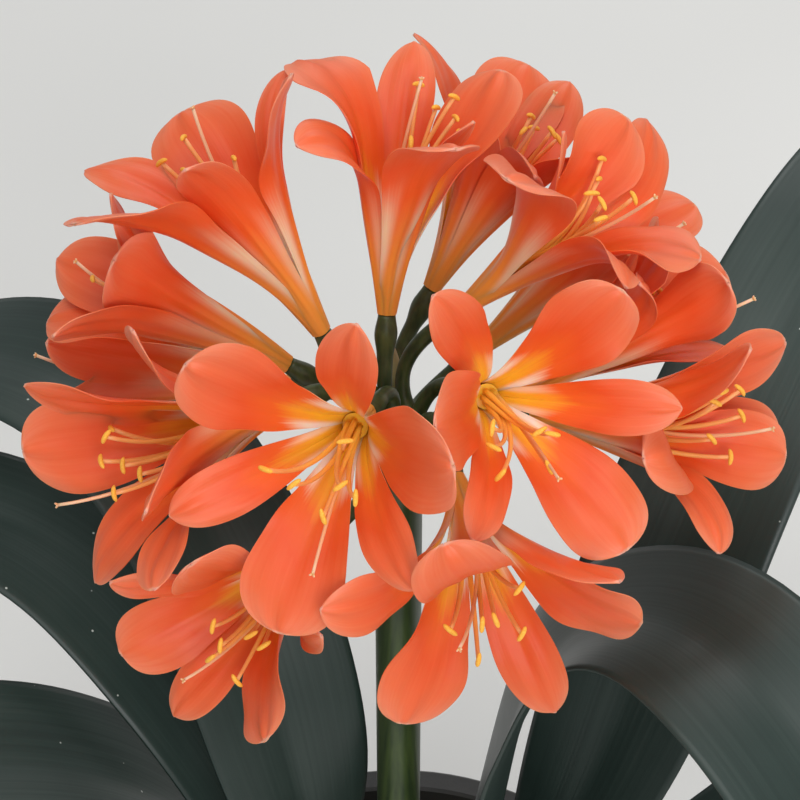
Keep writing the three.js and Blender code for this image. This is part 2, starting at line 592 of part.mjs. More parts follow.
addMesh('pot', pot(), POT_COLOUR, 0.6);
addMesh('soil', soil(), SOIL_COLOUR, 1);
addMesh('crown', toGeometry(toSolid(crownProfile(0))), CROWN_COLOUR, 0.6);
addMesh('scape', scape(), SCAPE_COLOUR, 0.5);

LEFT_LEAVES.forEach((form, order) => {
  addMesh(`leaf_left_${order + 1}`, leaf(form, 180, order), LEAF_COLOUR, 0.4);
});
RIGHT_LEAVES.forEach((form, order) => {
  addMesh(`leaf_right_${order + 1}`, leaf(form, 0, order), LEAF_COLOUR, 0.4);
});

BLOOMS.forEach((bloom, index) => {
  const number = String(index + 1).padStart(2, '0');
  const place = bloomPlace(bloom);
  addMesh(`bloom_${number}`, perianth(bloom).applyMatrix4(place), PETAL_COLOUR, 0.45);
  addMesh(`stamens_${number}`, stamens(bloom).applyMatrix4(place), STAMEN_COLOUR, 0.5);
});

export default plant;
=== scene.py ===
"""A clivia in flower, standing in its pot: the looks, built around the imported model."""
import math

import bmesh
import bpy
import numpy as np
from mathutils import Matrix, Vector


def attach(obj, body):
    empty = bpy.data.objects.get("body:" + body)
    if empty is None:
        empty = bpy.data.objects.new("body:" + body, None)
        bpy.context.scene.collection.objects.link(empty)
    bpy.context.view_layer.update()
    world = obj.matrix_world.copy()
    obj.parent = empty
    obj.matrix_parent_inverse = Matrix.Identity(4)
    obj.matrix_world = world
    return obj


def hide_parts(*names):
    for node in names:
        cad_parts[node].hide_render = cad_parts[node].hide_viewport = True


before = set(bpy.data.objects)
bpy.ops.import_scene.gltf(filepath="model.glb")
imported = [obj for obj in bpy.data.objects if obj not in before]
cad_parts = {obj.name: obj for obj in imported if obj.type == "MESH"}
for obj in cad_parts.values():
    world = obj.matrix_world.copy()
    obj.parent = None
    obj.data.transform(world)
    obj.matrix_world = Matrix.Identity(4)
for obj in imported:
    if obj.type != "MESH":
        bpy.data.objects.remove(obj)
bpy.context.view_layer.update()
bpy.ops.object.select_all(action="DESELECT")

# ---------------- studio
# A plain pale floor, four soft lights and the camera, which looks down on the flower head from
# the front. None of it belongs to the plant. It is laid out in metres, and the plant in mm.

MM = 0.001
head = np.array([0.0, 25.0, 450.0])  # middle of the flower head


def linear(colour):
    """An sRGB hex colour as linear red, green, blue and alpha."""
    parts = [int(colour[i:i + 2], 16) / 255 for i in (1, 3, 5)]
    return [p / 12.92 if p <= 0.04045 else ((p + 0.055) / 1.055) ** 2.4 for p in parts] + [1.0]


def new_material(name):
    made = bpy.data.materials.new(name)
    made.use_nodes = True
    made.node_tree.nodes.clear()
    return made


def node(material, kind, inputs=None, stops=None, **settings):
    """Adds a shader node with its settings, its sockets' values or links, and its colour stops.
    A link comes from a socket, or from the first one in use of a node."""
    made = material.node_tree.nodes.new("ShaderNode" + kind)
    for name, value in settings.items():
        setattr(made, name, value)
    for name, value in (inputs or {}).items():
        if isinstance(value, bpy.types.Node):
            value = next(socket for socket in value.outputs if socket.enabled)
        if isinstance(value, bpy.types.NodeSocket):
            material.node_tree.links.new(value, made.inputs[name])
        else:
            made.inputs[name].default_value = value
    if stops:
        elements = made.color_ramp.elements
        while len(elements) < len(stops):
            elements.new(0.5)
        for element, (position, colour) in zip(elements, stops.items()):
            element.position = position
            element.color = linear(colour)
    return made


def finish(material, colour, look, relief=None):
    """Ends a material in its shader. A relief is its pattern, its strength and its depth in mm."""
    if relief:
        pattern, strength, depth = relief
        look = {**look, "Normal": node(material, "Bump", {
            "Height": pattern, "Strength": strength, "Distance": depth * MM})}
    shader = node(material, "BsdfPrincipled", {"Base Color": colour, **look})
    node(material, "OutputMaterial", {"Surface": shader})


# Matt painted board: pale, even, no gloss, with hardly visible clouds about 0.3 m across.
floor_paint = new_material("Matt painted board")
board_place = node(floor_paint, "TexCoord").outputs["Object"]
board_clouds = node(floor_paint, "TexNoise", {
    "Vector": board_place, "Scale": 3.0, "Detail": 2.0})
board_tone = node(floor_paint, "ValToRGB", {"Fac": board_clouds}, stops={
    0.3: "#efeeea", 0.7: "#f3f2ee"})
finish(floor_paint, board_tone, {"Roughness": 0.9, "Specular IOR Level": 0.1})

bpy.ops.mesh.primitive_plane_add(size=40, location=(0, 0, 0))
floor = bpy.context.object
floor.name = "studio_floor"
floor.data.materials.append(floor_paint)


def look_at(thing, target):
    """Turns a light or the camera towards a place."""
    thing.rotation_euler = (thing.location - Vector(target)).to_track_quat("Z", "Y").to_euler()


for name, place, size, power in (
    ("light_key", (0.0, -0.1, 1.95), 1.3, 11),
    ("light_front", (0.3, -1.2, 1.15), 0.8, 10),
    ("light_fill", (1.4, -0.9, 1.0), 1.6, 3.5),
    ("light_back", (0.3, 1.6, 1.4), 1.2, 7),
):
    bpy.ops.object.light_add(type="AREA", location=place)
    light = bpy.context.object
    light.name = name
    light.data.shape = "DISK"
    light.data.size = size
    light.data.energy = power
    look_at(light, (0, 0, head[2] * MM))

world = bpy.data.worlds.new("pale_room")
world.use_nodes = True
sky = world.node_tree.nodes["Background"]
sky.inputs["Color"].default_value = linear("#e9ebee")
sky.inputs["Strength"].default_value = 0.43
bpy.context.scene.world = world
bpy.context.scene.view_settings.view_transform = "Standard"

CAMERA_PLACE = (0.0, -0.3842, 0.8888)
CAMERA_AIM = (0.0005, 0.0323, 0.4570)
bpy.ops.object.camera_add(location=CAMERA_PLACE)
camera = bpy.context.object
camera.name = "camera"
camera.data.sensor_width = 36
camera.data.lens = 98.6
camera.data.clip_start = 0.02
camera.data.clip_end = 20
look_at(camera, CAMERA_AIM)
bpy.context.scene.camera = camera

# ---------------- pot
# A plain round nursery pot, injection moulded in dark matt polypropylene: a tapered wall, a deep
# rim that stiffens it, and four drainage holes in its floor.

POT_HEIGHT = 180
RIM_DEPTH = 24
FOOT_RADIUS, SHOULDER_RADIUS, RIM_RADIUS = 72, 96, 102
POT_WALL, POT_FLOOR = 4, 6
DRAIN_RADIUS, DRAIN_RING = 6, 42  # a drainage hole, and how far it is from the middle


def wall_radius(height):
    """The outside radius of the pot's tapered wall."""
    return FOOT_RADIUS + (SHOULDER_RADIUS - FOOT_RADIUS) * height / POT_HEIGHT


def turned(profile, sides):
    """The points of a profile of (radius, height) in mm turned about the upright."""
    turns = np.radians(np.linspace(0, 360, sides + 1))
    return np.array([[(r * math.cos(a), r * math.sin(a), z) for a in turns] for r, z in profile])


def surface(name, points):
    """A grid primitive whose points are moved to the array's places (rows, columns, xyz in mm)."""
    rows, columns = points.shape[:2]
    bpy.ops.mesh.primitive_grid_add(x_subdivisions=columns - 1, y_subdivisions=rows - 1)
    piece = bpy.context.object
    piece.name = name
    piece.data.vertices.foreach_set("co", (points * MM).astype(np.float32).ravel())
    piece.data.update()
    return piece


def close_up(piece):
    """Joins a grid's first and last column into a tube and closes its ends."""
    shape = bmesh.new()
    shape.from_mesh(piece.data)
    bmesh.ops.remove_doubles(shape, verts=shape.verts, dist=1e-6)
    bmesh.ops.holes_fill(shape, edges=shape.edges)
    bmesh.ops.recalc_face_normals(shape, faces=shape.faces)
    shape.to_mesh(piece.data)
    shape.free()
    return piece


def modify(piece, kind, **settings):
    """Adds one modifier to a piece and applies it."""
    modifier = piece.modifiers.new(kind.title(), kind)
    for name, value in settings.items():
        setattr(modifier, name, value)
    bpy.ops.object.select_all(action="DESELECT")
    bpy.context.view_layer.objects.active = piece
    piece.select_set(True)
    bpy.ops.object.modifier_apply(modifier=modifier.name)


def hand_in(piece, node_name):
    """Smooths a finished piece and puts it on the body and in the place of its CAD node."""
    piece.data.polygons.foreach_set("use_smooth", [True] * len(piece.data.polygons))
    piece.data.update()
    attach(piece, "root")
    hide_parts(node_name)


rim_foot = POT_HEIGHT - RIM_DEPTH
mouth = wall_radius(POT_HEIGHT) - POT_WALL
pot = close_up(surface("pot_shell", turned([
    # underside, with the ring it stands on
    (8, 0.6), (FOOT_RADIUS - 5, 0.6), (FOOT_RADIUS - 4, 0), (FOOT_RADIUS - 1.2, 0),
    # wall
    (FOOT_RADIUS, 1.4), (wall_radius(40), 40), (wall_radius(100), 100),
    (wall_radius(rim_foot), rim_foot),
    # rim
    (RIM_RADIUS - 2.4, rim_foot + 0.4), (RIM_RADIUS - 1, rim_foot + 2),
    (RIM_RADIUS - 0.4, POT_HEIGHT - 12), (RIM_RADIUS, POT_HEIGHT - 3),
    (RIM_RADIUS - 0.5, POT_HEIGHT - 1), (RIM_RADIUS - 1.6, POT_HEIGHT),
    (mouth + 1.6, POT_HEIGHT), (mouth + 0.4, POT_HEIGHT - 1), (mouth, POT_HEIGHT - 4),
    # inside
    (wall_radius(POT_FLOOR + 4) - POT_WALL, POT_FLOOR + 4),
    (wall_radius(POT_FLOOR) - POT_WALL - 3, POT_FLOOR), (8, POT_FLOOR),
], 96)))
for corner in range(4):
    way = math.radians(45 + 90 * corner)
    bpy.ops.mesh.primitive_cylinder_add(
        vertices=32, radius=DRAIN_RADIUS * MM, depth=5 * POT_FLOOR * MM,
        location=(DRAIN_RING * MM * math.cos(way), DRAIN_RING * MM * math.sin(way), 0))
    drill = bpy.context.object
    modify(pot, "BOOLEAN", object=drill, operation="DIFFERENCE", solver="EXACT")
    bpy.data.objects.remove(drill)

# Moulded polypropylene: near black, matt, with the grain that a spark-eroded mould leaves, drawn
# at about 1 mm so that it shows, and films of dust about 45 mm across.
polypropylene = new_material("Moulded dark polypropylene")
pot_place = node(polypropylene, "TexCoord").outputs["Object"]
mould_grain = node(polypropylene, "TexNoise", {
    "Vector": pot_place, "Scale": 900.0, "Detail": 2.0})
pot_dust = node(polypropylene, "TexNoise", {
    "Vector": pot_place, "Scale": 22.0, "Detail": 5.0, "Roughness": 0.6})
pot_tone = node(polypropylene, "ValToRGB", {"Fac": pot_dust}, stops={
    0.35: "#2a2a29", 0.7: "#3a3936"})
finish(polypropylene, pot_tone, {"Roughness": 0.55, "IOR": 1.49}, (mould_grain, 0.35, 0.2))
pot.data.materials.append(polypropylene)
hand_in(pot, "pot")
pot.data.set_sharp_from_angle(angle=math.radians(35))

# ---------------- potting mix
# Composted bark and peat that fill the pot to 20 mm below its rim: a soft uneven bed with chips
# of bark lying on it.

SOIL_LEVEL = POT_HEIGHT - 20
BED_RADIUS = 88.5  # where the top of the bed meets the wall
CALM_MARGIN = 8  # the bed's unevenness dies out over this much of its margin
CHIP_COUNT, CHIP_REACH = 520, 86
CHIP_FORM = np.array([1.5, 1.0, 0.45])  # a chip is long and flat
dice = np.random.default_rng(11)


def bed_height(radius):
    """The bed stands a few millimetres higher in the middle than at the wall."""
    return SOIL_LEVEL + 3 - 5 * (radius / 89) ** 2


def join(name, pieces):
    """Joins pieces into the first one and gives it a name."""
    bpy.ops.object.select_all(action="DESELECT")
    for piece in pieces:
        piece.select_set(True)
    bpy.context.view_layer.objects.active = pieces[0]
    bpy.ops.object.join()
    pieces[0].name = name
    return pieces[0]


underside = [(8, POT_FLOOR + 0.4), (wall_radius(8) - POT_WALL - 4.4, POT_FLOOR + 0.4),
             (wall_radius(SOIL_LEVEL - 4) - POT_WALL - 0.4, SOIL_LEVEL - 4)]
bed_points = turned(underside + [(r, bed_height(r)) for r in np.linspace(BED_RADIUS, 4, 44)], 120)
bed_x, bed_y = bed_points[..., 0], bed_points[..., 1]
uneven = np.minimum(1, (BED_RADIUS - np.hypot(bed_x, bed_y)) / CALM_MARGIN)
uneven[:len(underside)] = 0
for wave in range(60):
    pull = dice.normal(0, 1, 2) * 0.35
    phase = dice.uniform(0, 2 * math.pi)
    bed_points[..., 2] += np.sin(bed_x * pull[0] + bed_y * pull[1] + phase) * 0.16 * uneven
bed = close_up(surface("bed", bed_points))

chips = []
bpy.ops.mesh.primitive_ico_sphere_add(subdivisions=1, radius=MM)
chip_form = bpy.context.object
chip_corners = np.array([v.co[:] for v in chip_form.data.vertices]) / MM
for _ in range(CHIP_COUNT):
    spot_turn = dice.uniform(0, 2 * math.pi)
    spot_radius = CHIP_REACH * math.sqrt(dice.uniform(0.02, 1))
    spot = (spot_radius * math.cos(spot_turn), spot_radius * math.sin(spot_turn))
    chip_size = dice.uniform(1.1, 4.2) * CHIP_FORM
    corners = chip_corners * dice.uniform(0.72, 1.2, (len(chip_corners), 1)) * chip_size
    yaw, tip = dice.uniform(0, 2 * math.pi), dice.normal(0, 0.3)
    corners = corners @ np.array([
        [math.cos(tip), 0, -math.sin(tip)], [0, 1, 0], [math.sin(tip), 0, math.cos(tip)]])
    corners = corners @ np.array([
        [math.cos(yaw), math.sin(yaw), 0], [-math.sin(yaw), math.cos(yaw), 0], [0, 0, 1]])
    corners += (*spot, bed_height(spot_radius) + 0.4)
    corners[:, :2] *= np.minimum(1, 91 / np.hypot(corners[:, 0], corners[:, 1]))[:, None]
    chip = chip_form.copy()
    chip.data = chip_form.data.copy()
    chip.data.vertices.foreach_set("co", (corners * MM).astype(np.float32).ravel())
    bpy.context.collection.objects.link(chip)
    chips.append(chip)
bpy.data.objects.remove(chip_form)
bed = join("potting_mix", [bed, *chips])

# Composted bark: dark brown, dull and open, in patches of about 4 mm that are each a little
# lighter or redder than the next, with a grit of about 1.5 mm.
bark = new_material("Composted bark")
bark_place = node(bark, "TexCoord").outputs["Object"]
bark_patches = node(bark, "TexVoronoi", {"Vector": bark_place, "Scale": 230.0})
bark_grit = node(bark, "TexNoise", {
    "Vector": bark_place, "Scale": 700.0, "Detail": 6.0, "Roughness": 0.7})
bark_chance = node(bark, "SeparateColor", {"Color": bark_patches.outputs["Color"]})
bark_tone = node(bark, "ValToRGB", {"Fac": bark_chance.outputs["Red"]}, stops={
    0.0: "#1d1510", 0.45: "#33241a", 0.8: "#4d3626", 1.0: "#6d5138"})
finish(bark, bark_tone, {"Roughness": 0.95, "Specular IOR Level": 0.2}, (bark_grit, 0.8, 0.8))
bed.data.materials.append(bark)
hand_in(bed, "soil")

# ---------------- leaf bases
# The plant's short base, seated in the mix: the broad pale feet of the leaves, which wrap round
# each other in two ranks like the coats of a leek. They are living tissue, grown in one piece.

CROWN_RISE = 30
CROWN_FLATNESS = 0.62  # its depth across the ranks as a share of its length along them
COAT_DEPTH = 12  # how far each coat reaches down into the mix
COAT_LAYERS = 6
INNER_COAT, COAT_STEP = 21.2, 6.4  # half the innermost coat's length, and how much each adds
# how a coat closes above its wall: shares of its radius and of its tongue's height
COAT_LID = [(0.985, 1), (0.965, 0.97), (0.93, 0.5), (0.89, 0.12), (0.8, 0), (0.5, 0), (0.2, 0)]


def smooth(x):
    """Eases from 0 to 1 as x goes from 0 to 1."""
    x = np.clip(x, 0, 1)
    return x * x * (3 - 2 * x)


turns = np.radians(np.linspace(0, 360, 73))
coats = []
for layer in range(COAT_LAYERS):
    for rank in (-1, 1):
        own_side = smooth(rank * np.cos(turns))
        length = INNER_COAT + COAT_STEP * layer - (1.3 if rank > 0 else 0)
        lid = CROWN_RISE + 0.8 - 5.2 * layer - (0.9 if rank > 0 else 0)
        tongue = (9 + 0.8 * layer) * own_side ** 1.5
        flare = math.tan(math.radians(4 + 6 * layer)) * own_side
        rings = []
        for close, share, rise in (*((1, rise, rise) for rise in np.linspace(0, 1, 12)),
                                   *((*lip, 1) for lip in COAT_LID)):
            height = lid * rise - COAT_DEPTH * (1 - rise) + tongue * share
            lean_out = flare * np.maximum(height, 0) * close
            rings.append(np.stack([
                length * close * np.cos(turns) + rank * lean_out,
                length * close * CROWN_FLATNESS * np.sin(turns),
                SOIL_LEVEL + height], axis=-1))
        coats.append(close_up(surface("coat", np.array(rings))))
leaf_bases = join("leaf_bases", coats)

# Blanched leaf base: smooth, buff at the soil going to green above, with faint lengthwise veins
# about 2 mm apart.
blanched = new_material("Blanched leaf base")
base_place = node(blanched, "TexCoord").outputs["Object"]
base_split = node(blanched, "SeparateXYZ", {"Vector": base_place})
base_height = node(blanched, "MapRange", {
    "Value": base_split.outputs["Z"], "From Min": (SOIL_LEVEL - 2) * MM,
    "From Max": (SOIL_LEVEL + 38) * MM})
base_tone = node(blanched, "ValToRGB", {"Fac": base_height}, stops={
    0.0: "#a8966a", 0.35: "#8d9a5c", 1.0: "#587238"})
base_stretch = node(blanched, "Mapping", {
    "Vector": base_place, "Scale": (600.0, 600.0, 12.0)})
base_veins = node(blanched, "TexNoise", {"Vector": base_stretch, "Scale": 1.0})
finish(blanched, base_tone, {
    "Roughness": 0.45, "Subsurface Weight": 0.1, "Subsurface Scale": 0.002},
    (base_veins, 0.4, 0.5))
leaf_bases.data.materials.append(blanched)
hand_in(leaf_bases, "crown")

# ---------------- leaves
# Twelve evergreen strap leaves, six in each rank: thick, leathery, keeled at the foot and nearly
# flat further out, arching over to a blunt tip. Each one grew as a single blade.

LEAF_THICKNESS, LEAF_MARGIN = 2.9, 0.3  # at the midrib, and the share of it left at the margins
LEAF_FOOT, LEAF_STEP = 18, 6.5  # how far from the middle the first leaf grows, and each after it
KEEL_FOOT, KEEL_OUT = 24, 9  # degrees that each half of a blade rises from the midrib
FOOT_WIDTH = 0.62  # a blade's width at its foot as a share of its full width
RIPPLE = 0.55  # the height of the margins' slight waves, which are 120 and 195 mm long


def direction(compass, lean):
    """Unit vectors at a compass angle and a lean from upright, both in degrees."""
    compass, lean = np.radians(compass), np.radians(lean)
    out = np.sin(lean)
    return np.stack(np.broadcast_arrays(
        out * np.cos(compass), out * np.sin(compass), np.cos(lean)), axis=-1)


def midrib(start, length, lean_at, compass_at, rows):
    """Points along a blade's middle, with the way across it and the way to its upper side."""
    steps = 80
    t = np.linspace(0, 1, steps + 1)
    middle = t[:-1] + 0.5 / steps
    moves = direction(compass_at(middle), lean_at(middle)) * length / steps
    points = np.vstack([start, start + np.cumsum(moves, axis=0)])
    along = np.stack([np.interp(rows, t, points[:, axis]) for axis in range(3)], axis=-1)
    across = direction(compass_at(rows) + 90, 90)
    inward = direction(compass_at(rows), lean_at(rows) - 90)
    return along, across, inward


def blade_grid(points, across, inward, reach, depth):
    """A blade's points, from how far each lies across from its middle and above it."""
    return (points[:, None] + across[:, None] * reach[..., None]
            + inward[:, None] * depth[..., None])


def mark(piece, along, across, kind=0.0, chance=0.0):
    """Writes each point's place on its blade: along it, across it, its kind and a chance value."""
    values = np.empty((len(along), len(across), 4), np.float32)
    values[..., 0] = np.asarray(along)[:, None]
    values[..., 1] = np.asarray(across)[None, :]
    values[..., 2] = kind
    values[..., 3] = chance
    place = piece.data.color_attributes.new("place", "FLOAT_COLOR", "POINT")
    place.data.foreach_set("color", values.ravel())


def thicken(piece, thickness, thin_edge, across, **settings):
    """Gives a blade its thickness, which runs out to thin_edge of it at the margins."""
    group = piece.vertex_groups.new(name="thickness")
    count = len(across)
    rows = len(piece.data.vertices) // count
    for column, place in enumerate(across):
        share = 1 - (2 * abs(place - 0.5)) ** 3
        group.add([row * count + column for row in range(rows)], share, "REPLACE")
    modify(piece, "SOLIDIFY", thickness=thickness * MM, offset=0, vertex_group="thickness",
           thickness_vertex_group=thin_edge, use_even_offset=False, **settings)
    piece.vertex_groups.clear()


# length, width, lean at foot and tip, where the arch starts and ends as shares of the length,
# and sideways turns as (degrees, from, to)
LEFT_LEAVES = [
    (530, 56, (5, 155), (0.2, 0.9), [(-58, 0.1, 0.35), (32, 0.4, 0.7)]),
    (500, 50, (6, 125), (0.1, 0.85), [(-38, 0.05, 0.3), (62, 0.4, 0.75)]),
    (490, 62, (11, 124), (0.15, 0.8), [(20, 0.1, 0.4)]),
    (490, 60, (13, 135), (0.1, 0.8), [(32, 0.1, 0.4)]),
    (450, 54, (24, 140), (0, 0.8), [(34, 0.1, 0.6)]),
    (430, 52, (34, 135), (0, 0.8), [(-28, 0.1, 0.6)]),
]
RIGHT_LEAVES = [
    (520, 58, (5, 165), (0.33, 0.88), [(-12, 0, 0.3), (-46, 0.4, 0.6)]),
    (530, 56, (13, 118), (0.14, 0.97), [(60, 0.1, 0.4)]),
    (420, 50, (17, 140), (0.05, 0.7), [(-60, 0.12, 0.45)]),
    (450, 54, (22, 135), (0, 0.8), [(24, 0.1, 0.4)]),
    (450, 54, (28, 140), (0, 0.8), [(-22, 0.1, 0.6)]),
    (430, 52, (38, 135), (0, 0.8), [(35, 0.1, 0.6)]),
]
# rows lie closer together towards the rounded tip
LEAF_ROWS = np.concatenate([
    np.linspace(0.02, 0.94, 92), 1 - 0.06 * np.linspace(0.93, 0.0, 18) ** 1.8])
LEAF_COLUMNS = np.linspace(-1, 1, 25)

# Sockets that go by number: a Math node's values, and a Mix node's share and two colours.
VALUE, TIMES, PLUS = 0, 1, 2
ADDED = THAN = 1
SHARE, UNDER, OVER = 0, 6, 7


def blade_place(material):
    """What mark() wrote, as sockets: along the blade, across it, its kind and a chance value."""
    place = node(material, "Attribute", attribute_name="place")
    split = node(material, "SeparateColor", {"Color": place})
    return [*split.outputs, place.outputs["Alpha"]]


def streaks(material, place, scale, detail, roughness):
    """Noise drawn out along a blade as if it lay unrolled, and different on each blade."""
    along, across, _, chance = place
    unrolled = node(material, "CombineXYZ", {"X": across, "Y": chance, "Z": along})
    stretch = node(material, "Mapping", {"Vector": unrolled, "Scale": scale})
    return node(material, "TexNoise", {
        "Vector": stretch, "Scale": 1.0, "Detail": detail, "Roughness": roughness})


def veined(material, across, spread, pattern):
    """A relief pattern with fine veins added, 2 pi / spread of the blade's width apart."""
    phase = node(material, "Math", {VALUE: across, TIMES: spread}, operation="MULTIPLY")
    vein = node(material, "Math", {VALUE: phase}, operation="SINE")
    return node(material, "Math", {VALUE: vein, TIMES: 0.05, PLUS: pattern},
                operation="MULTIPLY_ADD")


# Strap leaf: a waxy, very dark green skin with a soft grey shine, lengthwise veins about 1.6 mm
# apart and cloudy patches of about 60 mm. The blade is pale where it leaves the base.
strap = new_material("Strap leaf skin")
leaf_place = blade_place(strap)
leaf_along, leaf_across = leaf_place[:2]
leaf_where = node(strap, "TexCoord").outputs["Object"]
leaf_streaks = streaks(strap, leaf_place, (34.0, 50.0, 2.2), 4.0, 0.6)
leaf_clouds = node(strap, "TexNoise", {"Vector": leaf_where, "Scale": 16.0, "Detail": 3.0})
leaf_streaked = node(strap, "Math", {
    VALUE: leaf_streaks, TIMES: 0.35, PLUS: 0.1}, operation="MULTIPLY_ADD")
leaf_clouded = node(strap, "Math", {
    VALUE: leaf_clouds, TIMES: 0.45, PLUS: leaf_streaked}, operation="MULTIPLY_ADD")
leaf_tone = node(strap, "ValToRGB", {"Fac": leaf_clouded}, stops={
    0.3: "#1f2b27", 0.5: "#293732", 0.72: "#3a4741"})
leaf_foot = node(strap, "MapRange", {
    "Value": leaf_along, "From Min": 0.17, "From Max": 0.05}, interpolation_type="SMOOTHSTEP")
leaf_colour = node(strap, "Mix", {
    SHARE: leaf_foot, UNDER: leaf_tone, OVER: linear("#7f9350")}, data_type="RGBA")
# Dust: pale specks up to 1 mm across lying on the skin, in 4 of every 10 cells of 8 mm.
dust_cells = node(strap, "TexVoronoi", {"Vector": leaf_where, "Scale": 120.0})
dust_speck = node(strap, "MapRange", {
    "Value": dust_cells, "From Min": 0.055, "From Max": 0.03})
dust_chance = node(strap, "SeparateColor", {"Color": dust_cells.outputs["Color"]})
dust_picked = node(strap, "Math", {
    VALUE: dust_chance.outputs["Red"], THAN: 0.6}, operation="GREATER_THAN")
dust = node(strap, "Math", {VALUE: dust_speck, TIMES: dust_picked}, operation="MULTIPLY")
leaf_dusty = node(strap, "Mix", {
    SHARE: dust, UNDER: leaf_colour, OVER: linear("#c2c8c0")}, data_type="RGBA")
leaf_gloss = node(strap, "MapRange", {
    "Value": leaf_clouds, "From Min": 0.3, "From Max": 0.7, "To Min": 0.36, "To Max": 0.5})
finish(strap, leaf_dusty, {"Roughness": leaf_gloss, "IOR": 1.45},
       (veined(strap, leaf_across, 226.0, leaf_streaks), 0.3, 0.2))

for side, rank_compass, forms in (("left", 180, LEFT_LEAVES), ("right", 0, RIGHT_LEAVES)):
    for order, (length, width, lean, arch, turns) in enumerate(forms):
        def lean_at(t):
            return lean[0] + (lean[1] - lean[0]) * smooth((t - arch[0]) / (arch[1] - arch[0]))

        def compass_at(t):
            return rank_compass + sum(d * smooth((t - a) / (b - a)) for d, a, b in turns)

        foot = direction(rank_compass, 90) * (LEAF_FOOT + LEAF_STEP * order) + (0, 0, SOIL_LEVEL)
        points, across, inward = midrib(foot, length, lean_at, compass_at, LEAF_ROWS)
        half = (width / 2 * (FOOT_WIDTH + (1 - FOOT_WIDTH) * smooth(LEAF_ROWS / 0.45))
                * np.sqrt(np.maximum(1 - LEAF_ROWS ** 5, 0.0004)))
        keel = np.radians(KEEL_FOOT + (KEEL_OUT - KEEL_FOOT) * smooth(LEAF_ROWS / 0.5))
        bow = np.sqrt(LEAF_COLUMNS ** 2 + 0.012) - math.sqrt(0.012)
        phase = dice.uniform(0, 2 * math.pi, 4)
        distance = LEAF_ROWS * length
        ripple = (np.sin(distance / 19 + phase[0]) + np.sin(distance / 31 + phase[1]))[:, None]
        ripple = ripple * np.where(LEAF_COLUMNS > 0, 1, -0.8) * np.abs(LEAF_COLUMNS) ** 3 * RIPPLE
        ripple = ripple * smooth((LEAF_ROWS - 0.15) / 0.3)[:, None]
        reach = LEAF_COLUMNS[None, :] * (half * np.cos(keel))[:, None]
        depth = bow[None, :] * (half * np.sin(keel))[:, None] + ripple
        blade = surface("blade", blade_grid(points, across, inward, reach, depth)[:, ::-1])
        across_marks = (LEAF_COLUMNS[::-1] + 1) / 2
        mark(blade, LEAF_ROWS, across_marks, 0, dice.uniform())
        blade.data.materials.append(strap)
        thicken(blade, LEAF_THICKNESS, LEAF_MARGIN, across_marks)
        blade.name = f"strap_{side}_{order + 1}"
        hand_in(blade, f"leaf_{side}_{order + 1}")

# ---------------- flower stalk
# The scape: one thick flattened green stalk that carries the flower head, with the short stalks
# and green ovaries of the fourteen blooms and three thin bracts growing out of its top.

STALK_HALF_DEPTH, STALK_HALF_WIDTH = 6.5, 11
STALK_STEPS, STALK_SIDES = 60, 48
DOME_RADIUS = 9.5  # the swollen top, from which the pedicels spring
PEDICEL_STEPS, OVARY_STEPS = 22, 14
PEDICEL_NECK, OVARY_LENGTH, OVARY_RADIUS, OVARY_MOUTH = 2.2, 12, 3.1, 2.3

